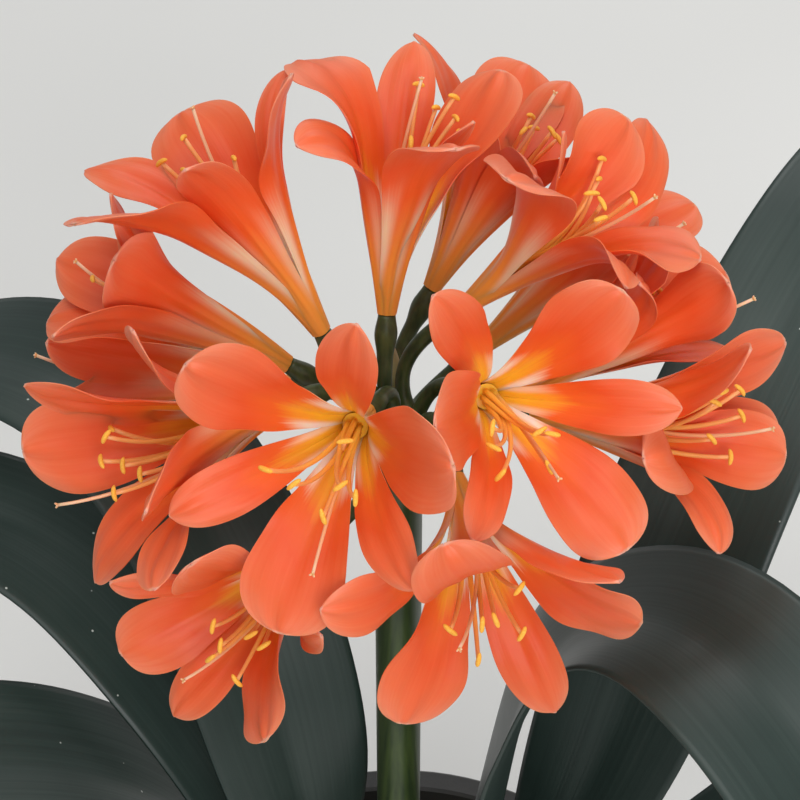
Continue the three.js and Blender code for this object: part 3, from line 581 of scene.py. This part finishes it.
# Each bloom: the way its stalk points and the way it faces, as compass and lean from upright, the
# stalk's reach, its turn about its own axis, its size, how open it is (spread, and curl from start
# on), the tepals that grew differently (even numbers are outer ones), and where its anthers and
# its stigma are, as compass, lean and distance in its own frame. A tepal can stand a little to one
# side (at), bend sideways (sway), roll (twist), or be wider or narrower (wide).
BLOOMS = [
    dict(stalk=(-111, 35), reach=38, face=(-109, 65), turn=-64, size=0.94, spread=6, tepals={
        0: dict(at=3, size=0.94, spread=4, sway=5),
        1: dict(at=2, size=1.03, spread=7, curl=4, wide=1.05),
        2: dict(at=-2, size=0.93), 3: dict(at=-5, spread=4, curl=-6, wide=1.1),
        4: dict(at=-6, spread=3), 5: dict(at=2, size=0.98, spread=8, curl=-8, wide=1.05)},
        anthers=[(-88, 12, 52), (-47, 5, 50), (81, 15, 52), (33, 12, 52),
                 (144, 15, 46), (85, 10, 49)], style=(15, 24, 60)),
    dict(stalk=(-34, 36), reach=38, face=(-61, 56), turn=-48, size=0.92, spread=6, tepals={
        0: dict(at=-4, size=0.9), 1: dict(at=2, size=1.03, spread=4, sway=-5), 2: dict(size=0.93),
        3: dict(at=-3, size=0.92, spread=7, curl=-10, wide=1.1),
        4: dict(at=17, spread=10, curl=-12),
        5: dict(curl=-10)},
        anthers=[(-100, 19, 52), (-81, 20, 50), (-60, 23, 52), (-21, 15, 52),
                 (-60, 6, 50), (-28, 5, 52)], style=(-30, 14, 62)),
    dict(stalk=(-64, 63), reach=38, face=(-77, 98), turn=-97, size=0.97, spread=4, tepals={
        0: dict(at=-5, size=0.92, spread=13, curl=12, sway=-5, twist=30, wide=1.2),
        1: dict(at=-3, spread=7, sway=5), 3: dict(at=3, size=0.95, spread=2),
        4: dict(at=1, spread=5, curl=-30, sway=-8, twist=22, wide=1.15),
        5: dict(size=0.97, curl=80, start=0.55)},
        anthers=[(-120, 18, 52), (-71, 8, 54), (-148, 13, 52), (-165, 10, 50),
                 (130, 6, 52), (164, 19, 48)], style=(-135, 19, 62)),
    dict(stalk=(-127, 108), reach=36, face=(-124, 82), turn=-126, size=0.92, tepals={
        0: dict(at=13, spread=-5, curl=-17, sway=-5), 1: dict(at=6, curl=6, sway=10, wide=0.85),
        2: dict(at=-8, spread=3, curl=16, sway=-10, wide=0.9),
        3: dict(at=2, spread=-4, curl=-6, sway=5),
        4: dict(size=0.92, spread=3, curl=10, sway=15),
        5: dict(at=15, size=0.96, curl=-10, twist=50)},
        anthers=[(-155, 4, 50), (87, 3, 52), (-7, 9, 52), (105, 17, 50),
                 (44, 14, 54), (114, 12, 48)], style=(-20, 14, 60)),
    dict(stalk=(-156, 49), reach=40, face=(-149, 84), turn=-115, spread=-5, curl=-5, start=0.5,
        tepals={
        0: dict(spread=-4, curl=-10), 1: dict(at=-12, curl=-12, size=1.04),
        2: dict(spread=4, curl=12, size=1.02),
        3: dict(size=0.98, spread=8, curl=3, sway=5, twist=-40, wide=0.6),
        4: dict(at=-4, spread=7, curl=-8, sway=-10, twist=-30),
        5: dict(at=-8, spread=20, curl=13, size=0.97, sway=5, wide=0.55)},
        anthers=[(-149, 8, 52), (-53, 9, 52), (0, 12, 52), (-100, 12, 48),
                 (60, 6, 46), (-20, 4, 48)], style=(-26, 17, 66)),
    dict(stalk=(150, 86), reach=35, face=(169, 88), turn=-102, spread=-9, start=0.5, tepals={
        1: dict(at=-20, size=1.05), 2: dict(spread=-4), 5: dict(size=0.92)},
        anthers=[(137, 13, 58), (162, 13, 58), (159, 11, 54), (120, 8, 50),
                 (-160, 8, 50), (90, 6, 46)], style=(126, 14, 70)),
    dict(stalk=(171, 52), reach=38, face=(173, 56), turn=-156, spread=-10, start=0.5, tepals={
        0: dict(size=0.98, spread=-14, curl=6, sway=-5), 1: dict(at=-6, spread=-9, size=0.86),
        2: dict(wide=1.3), 3: dict(at=-30, spread=5, curl=20, wide=0.75),
        5: dict(at=-6, spread=-5, size=0.91)},
        anthers=[(-11, 9, 56), (-40, 5, 52), (40, 8, 50), (0, 5, 48),
                 (-120, 4, 46), (100, 7, 48)], style=(-30, 11, 62)),
    dict(stalk=(170, 29), reach=42, face=(145, 36), turn=-97, size=1.06, spread=-9, curl=5,
        start=0.5, tepals={
        0: dict(size=0.96, spread=-2, curl=13, twist=40, wide=0.48),
        1: dict(at=4, spread=2, curl=12),
        2: dict(at=-5, spread=4, size=1.04, curl=6), 3: dict(at=3, spread=14, size=1.11, curl=5),
        4: dict(at=-15, size=0.96, wide=0.9), 5: dict(at=8, curl=3, wide=0.8)},
        anthers=[(-16, 12, 58), (23, 14, 57), (14, 12, 52), (60, 8, 50),
                 (-80, 6, 48), (150, 7, 47)], style=(-43, 11, 63)),
    dict(stalk=(107, 15), reach=39, face=(84, 27), turn=-116, spread=-11, curl=10, start=0.5,
        tepals={
        0: dict(curl=-20, size=0.85),
        1: dict(at=-6, spread=14, curl=-30, size=1.04, sway=25, wide=0.9),
        2: dict(at=-7, spread=3, curl=-18, size=1.06, wide=0.88),
        3: dict(at=2, spread=-3, curl=49, size=1.12, start=0.55),
        4: dict(at=4, spread=-3, curl=54, size=0.91, sway=5, twist=-40, wide=1.1),
        5: dict(at=25, spread=12, curl=20, wide=0.85)},
        anthers=[(-21, 12, 60), (-45, 14, 55), (-156, 14, 50), (-59, 16, 59),
                 (-61, 18, 54), (-65, 20, 51)], style=(-40, 8, 62)),
    dict(stalk=(75, 58), reach=43, face=(42, 37), turn=-8, size=1.04, spread=-9, start=0.5,
        tepals={
        0: dict(at=16, curl=5, sway=25), 1: dict(at=-9, curl=13), 2: dict(curl=20, spread=4),
        3: dict(size=0.78, spread=-4), 4: dict(curl=45, spread=2, size=0.85, twist=-30),
        5: dict(size=0.93, spread=3, curl=10, sway=-10)},
        anthers=[(-97, 12, 54), (-60, 12, 52), (-130, 8, 50), (20, 10, 52),
                 (90, 7, 47), (-20, 6, 50)], style=(-100, 6, 62)),
    dict(stalk=(35, 31), reach=44, face=(7, 47), turn=-86, spread=-8, start=0.5, tepals={
        0: dict(at=-3, spread=-2, curl=54, size=0.88),
        1: dict(spread=-1, curl=17, size=0.95, sway=-5, wide=1.15),
        2: dict(at=8, spread=6, curl=25, size=1.08, sway=50, wide=1.1),
        3: dict(at=-8, spread=-2, size=0.95),
        4: dict(size=0.8, spread=-6), 5: dict(at=-18, spread=18, curl=45, sway=20, twist=30)},
        anthers=[(96, 14, 52), (-148, 12, 50), (-129, 14, 52), (-42, 4, 54),
                 (-117, 16, 50), (90, 10, 48)], style=(-90, 10, 62)),
    dict(stalk=(54, 87), reach=42, face=(30, 62), turn=-24, size=1.05, spread=-8, curl=-8, tepals={
        1: dict(at=-15, spread=-3, curl=5, size=1.12, sway=-5, wide=0.7),
        2: dict(size=1.05, curl=-15),
        3: dict(size=0.75, spread=-4, wide=0.8), 4: dict(size=0.8), 5: dict(size=0.85)},
        anthers=[(-79, 14, 60), (-60, 10, 54), (-100, 10, 52), (-30, 8, 50),
                 (120, 6, 46), (-140, 8, 48)], style=(-80, 10, 62)),
    dict(stalk=(-7, 54), reach=37, face=(19, 68), turn=-20, spread=-10, curl=-5, start=0.5,
        tepals={
        0: dict(size=0.95), 1: dict(size=1.06), 2: dict(size=0.9), 3: dict(size=0.83, spread=-5),
        4: dict(at=-20, curl=70, spread=-5, size=0.8),
        5: dict(at=-49, spread=-5, curl=22, sway=-15, wide=0.75)},
        anthers=[(-89, 8, 56), (-60, 10, 52), (-120, 8, 50), (-30, 8, 48),
                 (90, 6, 46), (160, 6, 47)], style=(-89, 10, 68)),
    dict(stalk=(-5, 72), reach=38, face=(-19, 78), turn=-56, size=1.03, spread=-6, curl=-4,
        start=0.5, tepals={
        0: dict(curl=30, spread=-4, size=0.93, twist=40),
        1: dict(at=32, spread=-6, curl=12, wide=0.8),
        2: dict(at=-10, spread=3, curl=16, sway=-10, wide=0.8),
        3: dict(at=-17, spread=3, curl=-8, sway=-5, wide=0.85),
        5: dict(at=-4, size=0.88, spread=-2, curl=100, twist=30)},
        anthers=[(103, 14, 54), (-170, 14, 52), (155, 12, 52), (79, 9, 54),
                 (-120, 8, 50), (8, 11, 52)], style=(60, 8, 62)),
]


def skinned(name, rings, marks, kind=0.0):
    """A closed round form through rings of points, marked along its length."""
    piece = surface(name, np.array(rings))
    mark(piece, marks, np.linspace(0, 1, len(rings[0])), kind)
    return close_up(piece)


def tube(name, path, radii, sides, marks=None, kind=0.0):
    """A closed round stalk along a path of points, with its radius at each point."""
    path, radii = np.asarray(path, float), np.asarray(radii, float)
    ahead = np.gradient(path, axis=0)
    ahead /= np.linalg.norm(ahead, axis=1)[:, None]
    side = np.cross(ahead[0], (0, 0, 1) if abs(ahead[0][2]) < 0.9 else (1, 0, 0))
    turns = np.radians(np.linspace(0, 360, sides + 1))[:, None]
    rings = []
    for point, way, radius in zip(path, ahead, radii):
        side = side - way * side.dot(way)
        side /= np.linalg.norm(side)
        rings.append(point + radius * (np.cos(turns) * side + np.sin(turns) * np.cross(way, side)))
    return skinned(name, rings, np.linspace(0, 1, len(path)) if marks is None else marks, kind)


def bezier(start, bend, end, count):
    """Points along a curve that leaves start towards bend and arrives at end from it."""
    t = np.linspace(0, 1, count)[:, None]
    return (1 - t) ** 2 * start + 2 * t * (1 - t) * bend + t ** 2 * end


def rounded(share, radius):
    """Across an oval that is a little fuller than an ellipse, where share is a sine or cosine."""
    return np.sign(share) * np.abs(share) ** 0.92 * radius


turns = np.radians(np.linspace(0, 360, STALK_SIDES + 1))
stalk_foot = SOIL_LEVEL + CROWN_RISE + 0.35
squash = 1 + 0.05 * np.cos(2 * turns) ** 2
stalk_rings = []
for t in np.linspace(0, 1, STALK_STEPS):
    stalk_rings.append(np.stack([
        rounded(np.cos(turns), STALK_HALF_DEPTH) * squash,
        rounded(np.sin(turns), STALK_HALF_WIDTH) * squash + head[1] * smooth(t),
        np.full_like(turns, stalk_foot + (head[2] - 2 - stalk_foot) * t)], axis=-1))
stem = skinned("stem", stalk_rings, np.linspace(0, 1, STALK_STEPS))
lumps = 1 + 0.04 * np.sin(9 * turns)
dome_rings = []
for lift in np.radians(np.linspace(-80, 88, 16)):
    dome_rings.append(np.stack([
        head[0] + DOME_RADIUS * math.cos(lift) * np.cos(turns) * lumps,
        head[1] + (DOME_RADIUS + 2) * math.cos(lift) * np.sin(turns) * lumps,
        np.full_like(turns, head[2] + DOME_RADIUS * math.sin(lift))], axis=-1))
dome = skinned("dome", dome_rings, np.linspace(0.97, 1, 16))

bracts = []
rows, columns = np.linspace(0, 1, 20), np.linspace(-1, 1, 9)
for compass, lean, length in ((100, 25, 26), (225, 40, 22), (330, 35, 24)):
    points, across, inward = midrib(
        head + direction(compass, 90) * 4, length,
        lambda t: lean + 30 * t, lambda t: compass + 0 * t, rows)
    half = 5 * np.sqrt(np.maximum(1 - rows, 0.001))[:, None]
    grid = blade_grid(points, across, inward, columns * half, columns ** 2 * half * 0.5)
    bract = surface("bract", grid[:, ::-1])
    mark(bract, rows, (columns[::-1] + 1) / 2, 1)
    thicken(bract, 0.6, 0.5, (columns[::-1] + 1) / 2)
    bracts.append(bract)

pedicels = []
for bloom in BLOOMS:
    axis, size = direction(*bloom["face"]), bloom.get("size", 1)
    way = direction(*bloom["stalk"])
    top = head + way * bloom["reach"] - axis * 0.35
    neck = top - axis * OVARY_LENGTH * size
    bend = top - axis * (OVARY_LENGTH + 0.4 * bloom["reach"]) * size
    path = bezier(head + way * 8, bend, neck, PEDICEL_STEPS)
    radii = np.interp(np.linspace(0, 1, PEDICEL_STEPS), [0, 0.12, 0.5, 1],
                      [2.8, 2.1, 2.0, PEDICEL_NECK])
    up = np.linspace(0.06, 1, OVARY_STEPS)
    swell = np.where(
        up > 0.55,
        size * (OVARY_RADIUS + (OVARY_MOUTH - OVARY_RADIUS) * smooth((up - 0.55) / 0.5)),
        PEDICEL_NECK + (OVARY_RADIUS * size - PEDICEL_NECK) * smooth(up / 0.55))
    marks = np.concatenate([
        np.linspace(0.97, 0.98, PEDICEL_STEPS), np.linspace(0.985, 1, OVARY_STEPS)])
    pedicels.append(tube("pedicel", np.vstack([path, neck + (top - neck) * up[:, None]]),
                         np.concatenate([radii, swell]), 16, marks, kind=0.5))

# Green stem skin: smooth and satiny, mid to dark green with lengthwise lines about 2 mm apart.
# The bracts are thinner and paler, and dry out brown at their ends.
stem_skin = new_material("Green stem skin")
stem_along, _, stem_kind, _ = blade_place(stem_skin)
stem_stretch = node(stem_skin, "Mapping", {
    "Vector": node(stem_skin, "TexCoord").outputs["Object"], "Scale": (500.0, 500.0, 14.0)})
stem_lines = node(stem_skin, "TexNoise", {"Vector": stem_stretch, "Scale": 1.0, "Detail": 3.0})
stem_tone = node(stem_skin, "ValToRGB", {"Fac": stem_lines}, stops={
    0.3: "#2b3a1f", 0.7: "#46562c"})
bract_tone = node(stem_skin, "ValToRGB", {"Fac": stem_along}, stops={
    0.0: "#8c9a5e", 0.6: "#a9a878", 1.0: "#8b7350"})
bract_share = node(stem_skin, "MapRange", {
    "Value": stem_kind, "From Min": 0.6, "From Max": 0.9})
stem_colour = node(stem_skin, "Mix", {
    SHARE: bract_share, UNDER: stem_tone, OVER: bract_tone}, data_type="RGBA")
finish(stem_skin, stem_colour, {"Roughness": 0.42, "IOR": 1.45}, (stem_lines, 0.35, 0.3))
stalk = join("flower_stalk", [stem, dome, *bracts, *pedicels])
stalk.data.materials.clear()
stalk.data.materials.append(stem_skin)
hand_in(stalk, "scape")

# ---------------- blooms
# Fourteen funnel-shaped blooms. In each, three narrower outer and three broader inner tepals
# stand edge to edge in a tube below and curl back at their ends. They grew as one piece.

# length, half width, the outline's powers, lean out of the axis and backward curl in degrees, the
# radius of the ring they stand on, and the depth of the notch in the tip as a share of the length
OUTER = dict(length=70, half=8.4, rise=1.35, fall=3.4, round=0.66, spread=27, curl=42, foot=2.2,
             tip=0)
INNER = dict(length=68, half=13, rise=1.5, fall=4, round=0.5, spread=25, curl=34, foot=1.9,
             tip=0.005)
PETAL_THICKNESS, PETAL_MARGIN = 0.8625, 0.25  # at the midrib, and the share left at the margins
TUBE_LEAN = 9  # degrees that a tepal leans out of the axis at its foot
MOUTH = 0.42  # the share of its length at which a tepal has its full lean and starts to curl
STRAY = 1.08  # how much of its "at" a tepal has turned once it leaves the tube
CREASE, CREASE_WIDTH = 0.7, 0.16  # the pinch that makes the tip's small point
PLEATS = 0.18  # the soft lengthwise folds in the blade
CHANNEL, CHANNEL_WIDTH = 0.4, 0.14  # the groove along the midrib
THROAT_HEIGHT = 11  # a lining closes the gaps between the tepals' feet up to here


def outline(s, kind):
    """Half the width of a tepal along its length."""
    def shape(x):
        return x ** kind["rise"] * np.maximum(1 - x ** kind["fall"], 0) ** kind["round"]
    widest = shape(np.linspace(0, 1, 101)).max()
    return kind["half"] * shape(s) / widest + 2.4 * (1 - s) * np.exp(-(s / 0.28) ** 2)


def bloom_place(bloom):
    """A bloom's own frame as three rows, drawn at its size, then its foot and its size."""
    axis, size = direction(*bloom["face"]), bloom.get("size", 1)
    right = direction(bloom["face"][0], bloom["face"][1] + 90)
    ways = np.array([right, np.cross(axis, right), axis]) * size
    return ways, head + direction(*bloom["stalk"]) * bloom["reach"], size


# Petal skin: silky and slightly translucent, with lengthwise veins about 1.6 mm apart. Yellow in
# the throat, white beside it towards the margins, then orange to salmon towards the end. The
# yellow reaches further along the midrib than at the margins. The throat's yellow and the golden
# orange at the foot of the outside are partly the petals' own colour and partly painted light:
# they are painted brighter to stand for light let through the thin petals into the shade there.
petals = {}
for face, stops, pale, *white_range in (
    # painted light: the stops up to 0.24 are brighter than the throat's own yellow
    ("inside", {0.0: "#ffcc40", 0.24: "#fcbc2e", 0.38: "#f49e2c", 0.48: "#ec6620",
                0.64: "#e4541e", 0.86: "#e6683c", 1.0: "#e8805c"},
     "#fae8da", (0.16, 0.28), (0.5, 0.36), (0.36, 0.8)),
    # painted light: the stops up to 0.32 are brighter than the outside's own golden orange
    ("outside", {0.0: "#faa040", 0.14: "#fa9c3a", 0.32: "#f4863a", 0.48: "#ec5e1e",
                 0.7: "#ea5824", 0.88: "#ea6a40", 1.0: "#ec8464"},
     "#f6d2ae", (0.06, 0.3), (0.66, 0.4), (0.2, 0.8)),
):
    skin = new_material(f"Petal skin, {face} of the bloom")
    place = blade_place(skin)
    length_along, across, inner, _ = place
    grain = streaks(skin, place, (26.0, 40.0, 2.4), 3.0, 0.55)
    centred = node(skin, "Math", {VALUE: across, TIMES: 2.0, PLUS: -1.0},
                   operation="MULTIPLY_ADD")
    edge = node(skin, "Math", {VALUE: centred}, operation="ABSOLUTE")
    shift = node(skin, "Math", {VALUE: grain, TIMES: 0.12, PLUS: -0.16},
                 operation="MULTIPLY_ADD")
    tongue = node(skin, "Math", {VALUE: edge, TIMES: 0.16, PLUS: shift},
                  operation="MULTIPLY_ADD")
    along = node(skin, "Math", {VALUE: length_along, ADDED: tongue}, operation="ADD")
    tone = node(skin, "ValToRGB", {"Fac": along}, stops=stops)
    # the white is weaker on the outer tepals, comes and goes along the tepal, and is at its sides
    white = node(skin, "MapRange", {"Value": inner, "To Min": 0.55})
    for value, (none, full) in zip((along, along, edge), white_range):
        share = node(skin, "MapRange", {"Value": value, "From Min": none, "From Max": full},
                     interpolation_type="SMOOTHSTEP")
        white = node(skin, "Math", {VALUE: white, TIMES: share}, operation="MULTIPLY")
    flashed = node(skin, "Mix", {SHARE: white, UNDER: tone, OVER: linear(pale)}, data_type="RGBA")
    streak = node(skin, "MapRange", {
        "Value": grain, "From Min": 0.35, "From Max": 0.75, "To Max": 0.1})
    streaked = node(skin, "Mix", {
        SHARE: streak, UNDER: flashed, OVER: linear("#f58a58")}, data_type="RGBA")
    point = node(skin, "MapRange", {"Value": length_along, "From Min": 0.99, "To Max": 0.3},
                 interpolation_type="SMOOTHSTEP")
    tipped = node(skin, "Mix", {
        SHARE: point, UNDER: streaked, OVER: linear("#f3dccb")}, data_type="RGBA")
    finish(skin, tipped, {
        "Roughness": 0.45, "IOR": 1.4, "Subsurface Weight": 0.5,
        "Subsurface Radius": (1.0, 0.5, 0.2), "Subsurface Scale": 0.0016},
        (veined(skin, across, 100.0, grain), 0.25, 0.2))
    petals[face] = skin

# rows lie closer together towards the tip
rows = np.concatenate([np.linspace(0, 0.9, 44), 1 - 0.1 * np.linspace(0.9, 0, 10) ** 1.7])
columns = np.linspace(-1, 1, 21)[None, :]
cross_marks = (columns[0] + 1) / 2
margin = np.abs(columns) ** 3 * smooth((rows - 0.35) / 0.3)[:, None]
crease = CREASE * np.exp(-(columns / CREASE_WIDTH) ** 2) * smooth((rows - 0.8) / 0.15)[:, None]
channel = CHANNEL * np.exp(-(columns / CHANNEL_WIDTH) ** 2) * np.sin(np.pi * rows ** 0.8)[:, None]
for number, bloom in enumerate(BLOOMS, 1):
    ways, foot, size = bloom_place(bloom)
    parts = []
    for order in range(6):
        kind = INNER if order % 2 else OUTER
        own = dict(at=0, size=1, spread=0, curl=0, sway=0, twist=0, wide=1,
                   start=bloom.get("start", MOUTH))
        own.update(bloom["tepals"].get(order, {}))
        compass = bloom["turn"] + 60 * order
        spread = kind["spread"] + bloom.get("spread", 0) + own["spread"]
        curl = kind["curl"] + bloom.get("curl", 0) + own["curl"]

        def lean_at(t):
            bent = np.clip((t - own["start"]) / (1 - own["start"]), 0, 1)
            return TUBE_LEAN + (spread - TUBE_LEAN) * smooth(t / MOUTH) + curl * bent ** 1.6

        def compass_at(t):
            return (compass + STRAY * own["at"] * smooth(t / 0.3)
                    + own["sway"] * smooth((t - 0.3) / 0.7))

        start = direction(compass, 90) * kind["foot"]
        points, across, inward = midrib(
            start, kind["length"] * own["size"], lean_at, compass_at, rows)
        roll = np.radians(own["twist"] * smooth((rows - 0.25) / 0.75))[:, None]
        across, inward = (across * np.cos(roll) + inward * np.sin(roll),
                          inward * np.cos(roll) - across * np.sin(roll))
        # the blade is hollowed to the tube's radius below, and edges meet there
        radius = np.maximum(np.hypot(points[:, 0], points[:, 1]), kind["foot"])
        half = np.minimum(outline(rows, kind) * own["size"] * own["wide"], radius * 0.8)
        tube_half = radius * 0.64 * (1 - smooth((rows - 0.12) / 0.2))
        half = np.maximum(half, np.maximum(0.25, tube_half))[:, None]
        hollow = (np.maximum(1 - smooth((rows - 0.55) / 0.42), 1e-3) / radius)[:, None]
        bend = columns * half * hollow
        phase = dice.uniform(0, 2 * math.pi, 3)
        wave = (np.sin(rows * 13 + phase[0]) + 0.6 * np.sin(rows * 23 + phase[1]))[:, None]
        wave = wave * np.where(columns > 0, 1, -1) * margin * 0.07 * half
        wave += crease * np.minimum(1, half / 6) ** 2
        pleats = np.sin(columns * 9 + phase[2]) * smooth((rows - 0.35) / 0.4)[:, None]
        wave += pleats * PLEATS * np.minimum(1, half / 8)
        depth = (1 - np.cos(bend)) / hollow + wave - channel
        grid = blade_grid(points, across, inward, np.sin(bend) / hollow, depth)
        ahead = np.gradient(points, axis=0)
        ahead /= np.linalg.norm(ahead, axis=1)[:, None]
        notch = kind["tip"] * kind["length"] * np.exp(-(columns / 0.25) ** 2)
        grid -= ahead[:, None] * (smooth((rows - 0.9) / 0.1)[:, None] * notch)[..., None]
        tepal = surface("tepal", grid @ ways + foot)
        mark(tepal, rows, cross_marks, order % 2, dice.uniform())
        tepal.data.materials.append(petals["outside"])
        tepal.data.materials.append(petals["inside"])
        thicken(tepal, PETAL_THICKNESS, PETAL_MARGIN, cross_marks,
                material_offset=1, material_offset_rim=0)
        parts.append(tepal)
    # The lining takes the inside skin's throat yellow, which is partly painted light in the shaded
    # throat.
    heights = np.linspace(0, THROAT_HEIGHT, 12)
    lining = tube("lining", foot + heights[:, None] * ways[2],
                  (1.8 + heights * 0.17) * size, 24, heights / OUTER["length"])
    lining.data.materials.append(petals["inside"])
    perianth = join(f"perianth_{number:02d}", [*parts, lining])
    hand_in(perianth, f"bloom_{number:02d}")
    perianth.data.set_sharp_from_angle(angle=math.radians(50))

# ---------------- stamens and style
# Inside each bloom six filaments rise from the tube, each with a small golden anther set
# crosswise, and one longer paler style ends in a three-lobed stigma. They grew with the bloom.

FILAMENT_FOOT = np.array([0, 0, 12.35])  # filaments leave the tube's wall this far up
FILAMENT_RING = 1.95
FILAMENT_STEPS = 16
FILAMENT_RADII, STYLE_RADII = (0.85, 0.55), (0.7, 0.42)
ANTHER_HALF, ANTHER_RADIUS, ANTHER_ARCH = 2.2, 0.66, 0.5

# Filament and style: smooth and a little translucent, orange yellow, the style paler.
filament_skin = new_material("Filament skin")
filament_along, _, filament_kind, _ = blade_place(filament_skin)
filament_tone = node(filament_skin, "ValToRGB", {"Fac": filament_along}, stops={
    0.0: "#ffc24a", 0.5: "#fcb250", 1.0: "#f8a868"})
style_tone = node(filament_skin, "ValToRGB", {"Fac": filament_along}, stops={
    0.0: "#f8b050", 0.6: "#f0ac78", 1.0: "#ecc09c"})
filament_colour = node(filament_skin, "Mix", {
    SHARE: filament_kind, UNDER: filament_tone, OVER: style_tone}, data_type="RGBA")
finish(filament_skin, filament_colour, {
    "Roughness": 0.4, "Subsurface Weight": 0.4,
    "Subsurface Radius": (1.0, 0.5, 0.2), "Subsurface Scale": 0.001})

# Anther: dull golden pollen sacs, granular, with the grains drawn at about 0.4 mm so that they
# show.
pollen = new_material("Golden pollen sac")
pollen_place = node(pollen, "TexCoord").outputs["Object"]
pollen_grain = node(pollen, "TexNoise", {
    "Vector": pollen_place, "Scale": 2600.0, "Detail": 2.0})
pollen_tone = node(pollen, "ValToRGB", {"Fac": pollen_grain}, stops={
    0.35: "#f8aa30", 0.65: "#ffc24c"})
finish(pollen, pollen_tone, {"Roughness": 0.7}, (pollen_grain, 0.5, 0.2))


def stamen_path(ways, foot, compass, end, down):
    """A filament's points, from the tube's wall up along the axis and out to its anther."""
    start = FILAMENT_FOOT + direction(compass, 90) * FILAMENT_RING
    tip = direction(end[0], end[1]) * end[2]
    bend = (start * (0.9, 0.9, 1) + (0, 0, 0.45 * (end[2] - FILAMENT_FOOT[2]))
            + tip * (0.15, 0.15, 0) + down * 0.07 * end[2])
    t = np.linspace(0, 1, FILAMENT_STEPS)[:, None]
    sag = down * end[2] * 0.25 * t ** 1.5 * (1 - t)
    return (bezier(start, bend, tip, FILAMENT_STEPS) + sag) @ ways + foot


for number, bloom in enumerate(BLOOMS, 1):
    ways, foot, size = bloom_place(bloom)
    unit = ways / size
    down = unit @ np.array([0, 0, -1.0])
    down[2] = 0
    filament_radii = np.linspace(*FILAMENT_RADII, FILAMENT_STEPS) * size
    style_radii = np.linspace(*STYLE_RADII, FILAMENT_STEPS) * size
    parts = []
    for order, end in enumerate(bloom["anthers"]):
        path = stamen_path(ways, foot, bloom["turn"] + 60 * order, end, down)
        filament = tube("filament", path, filament_radii, 8)
        ahead = path[-1] - path[-2]
        ahead /= np.linalg.norm(ahead)
        crosswise = np.cross(ahead, direction(dice.uniform(0, 360), 90) @ unit)
        crosswise /= np.linalg.norm(crosswise)
        sweep = np.linspace(-1, 1, 13)[:, None]
        sac = (path[-1] + ahead * 0.6 + crosswise * sweep * ANTHER_HALF
               - ahead * sweep ** 2 * ANTHER_ARCH)
        fullness = np.sqrt(np.maximum(1 - np.abs(sweep[:, 0]) ** 3, 0.02))
        anther = tube("anther", sac, ANTHER_RADIUS * fullness, 10)
        anther.data.polygons.foreach_set("material_index", [1] * len(anther.data.polygons))
        parts += [filament, anther]
    path = stamen_path(ways, foot, bloom["turn"] + 180, bloom["style"], down)
    parts.append(tube("style", path, style_radii, 8, kind=1.0))
    for lobe in range(3):
        lobe_way = direction(bloom["turn"] + 120 * lobe, 50) @ unit
        parts.append(tube("stigma", path[-1] + lobe_way * np.linspace(0, 1, 4)[:, None],
                          [0.36, 0.34, 0.3, 0.2], 6, kind=1.0))
    for part in parts:
        part.data.materials.append(filament_skin)
        part.data.materials.append(pollen)
    stamen_set = join(f"stamen_set_{number:02d}", parts)
    hand_in(stamen_set, f"stamens_{number:02d}")
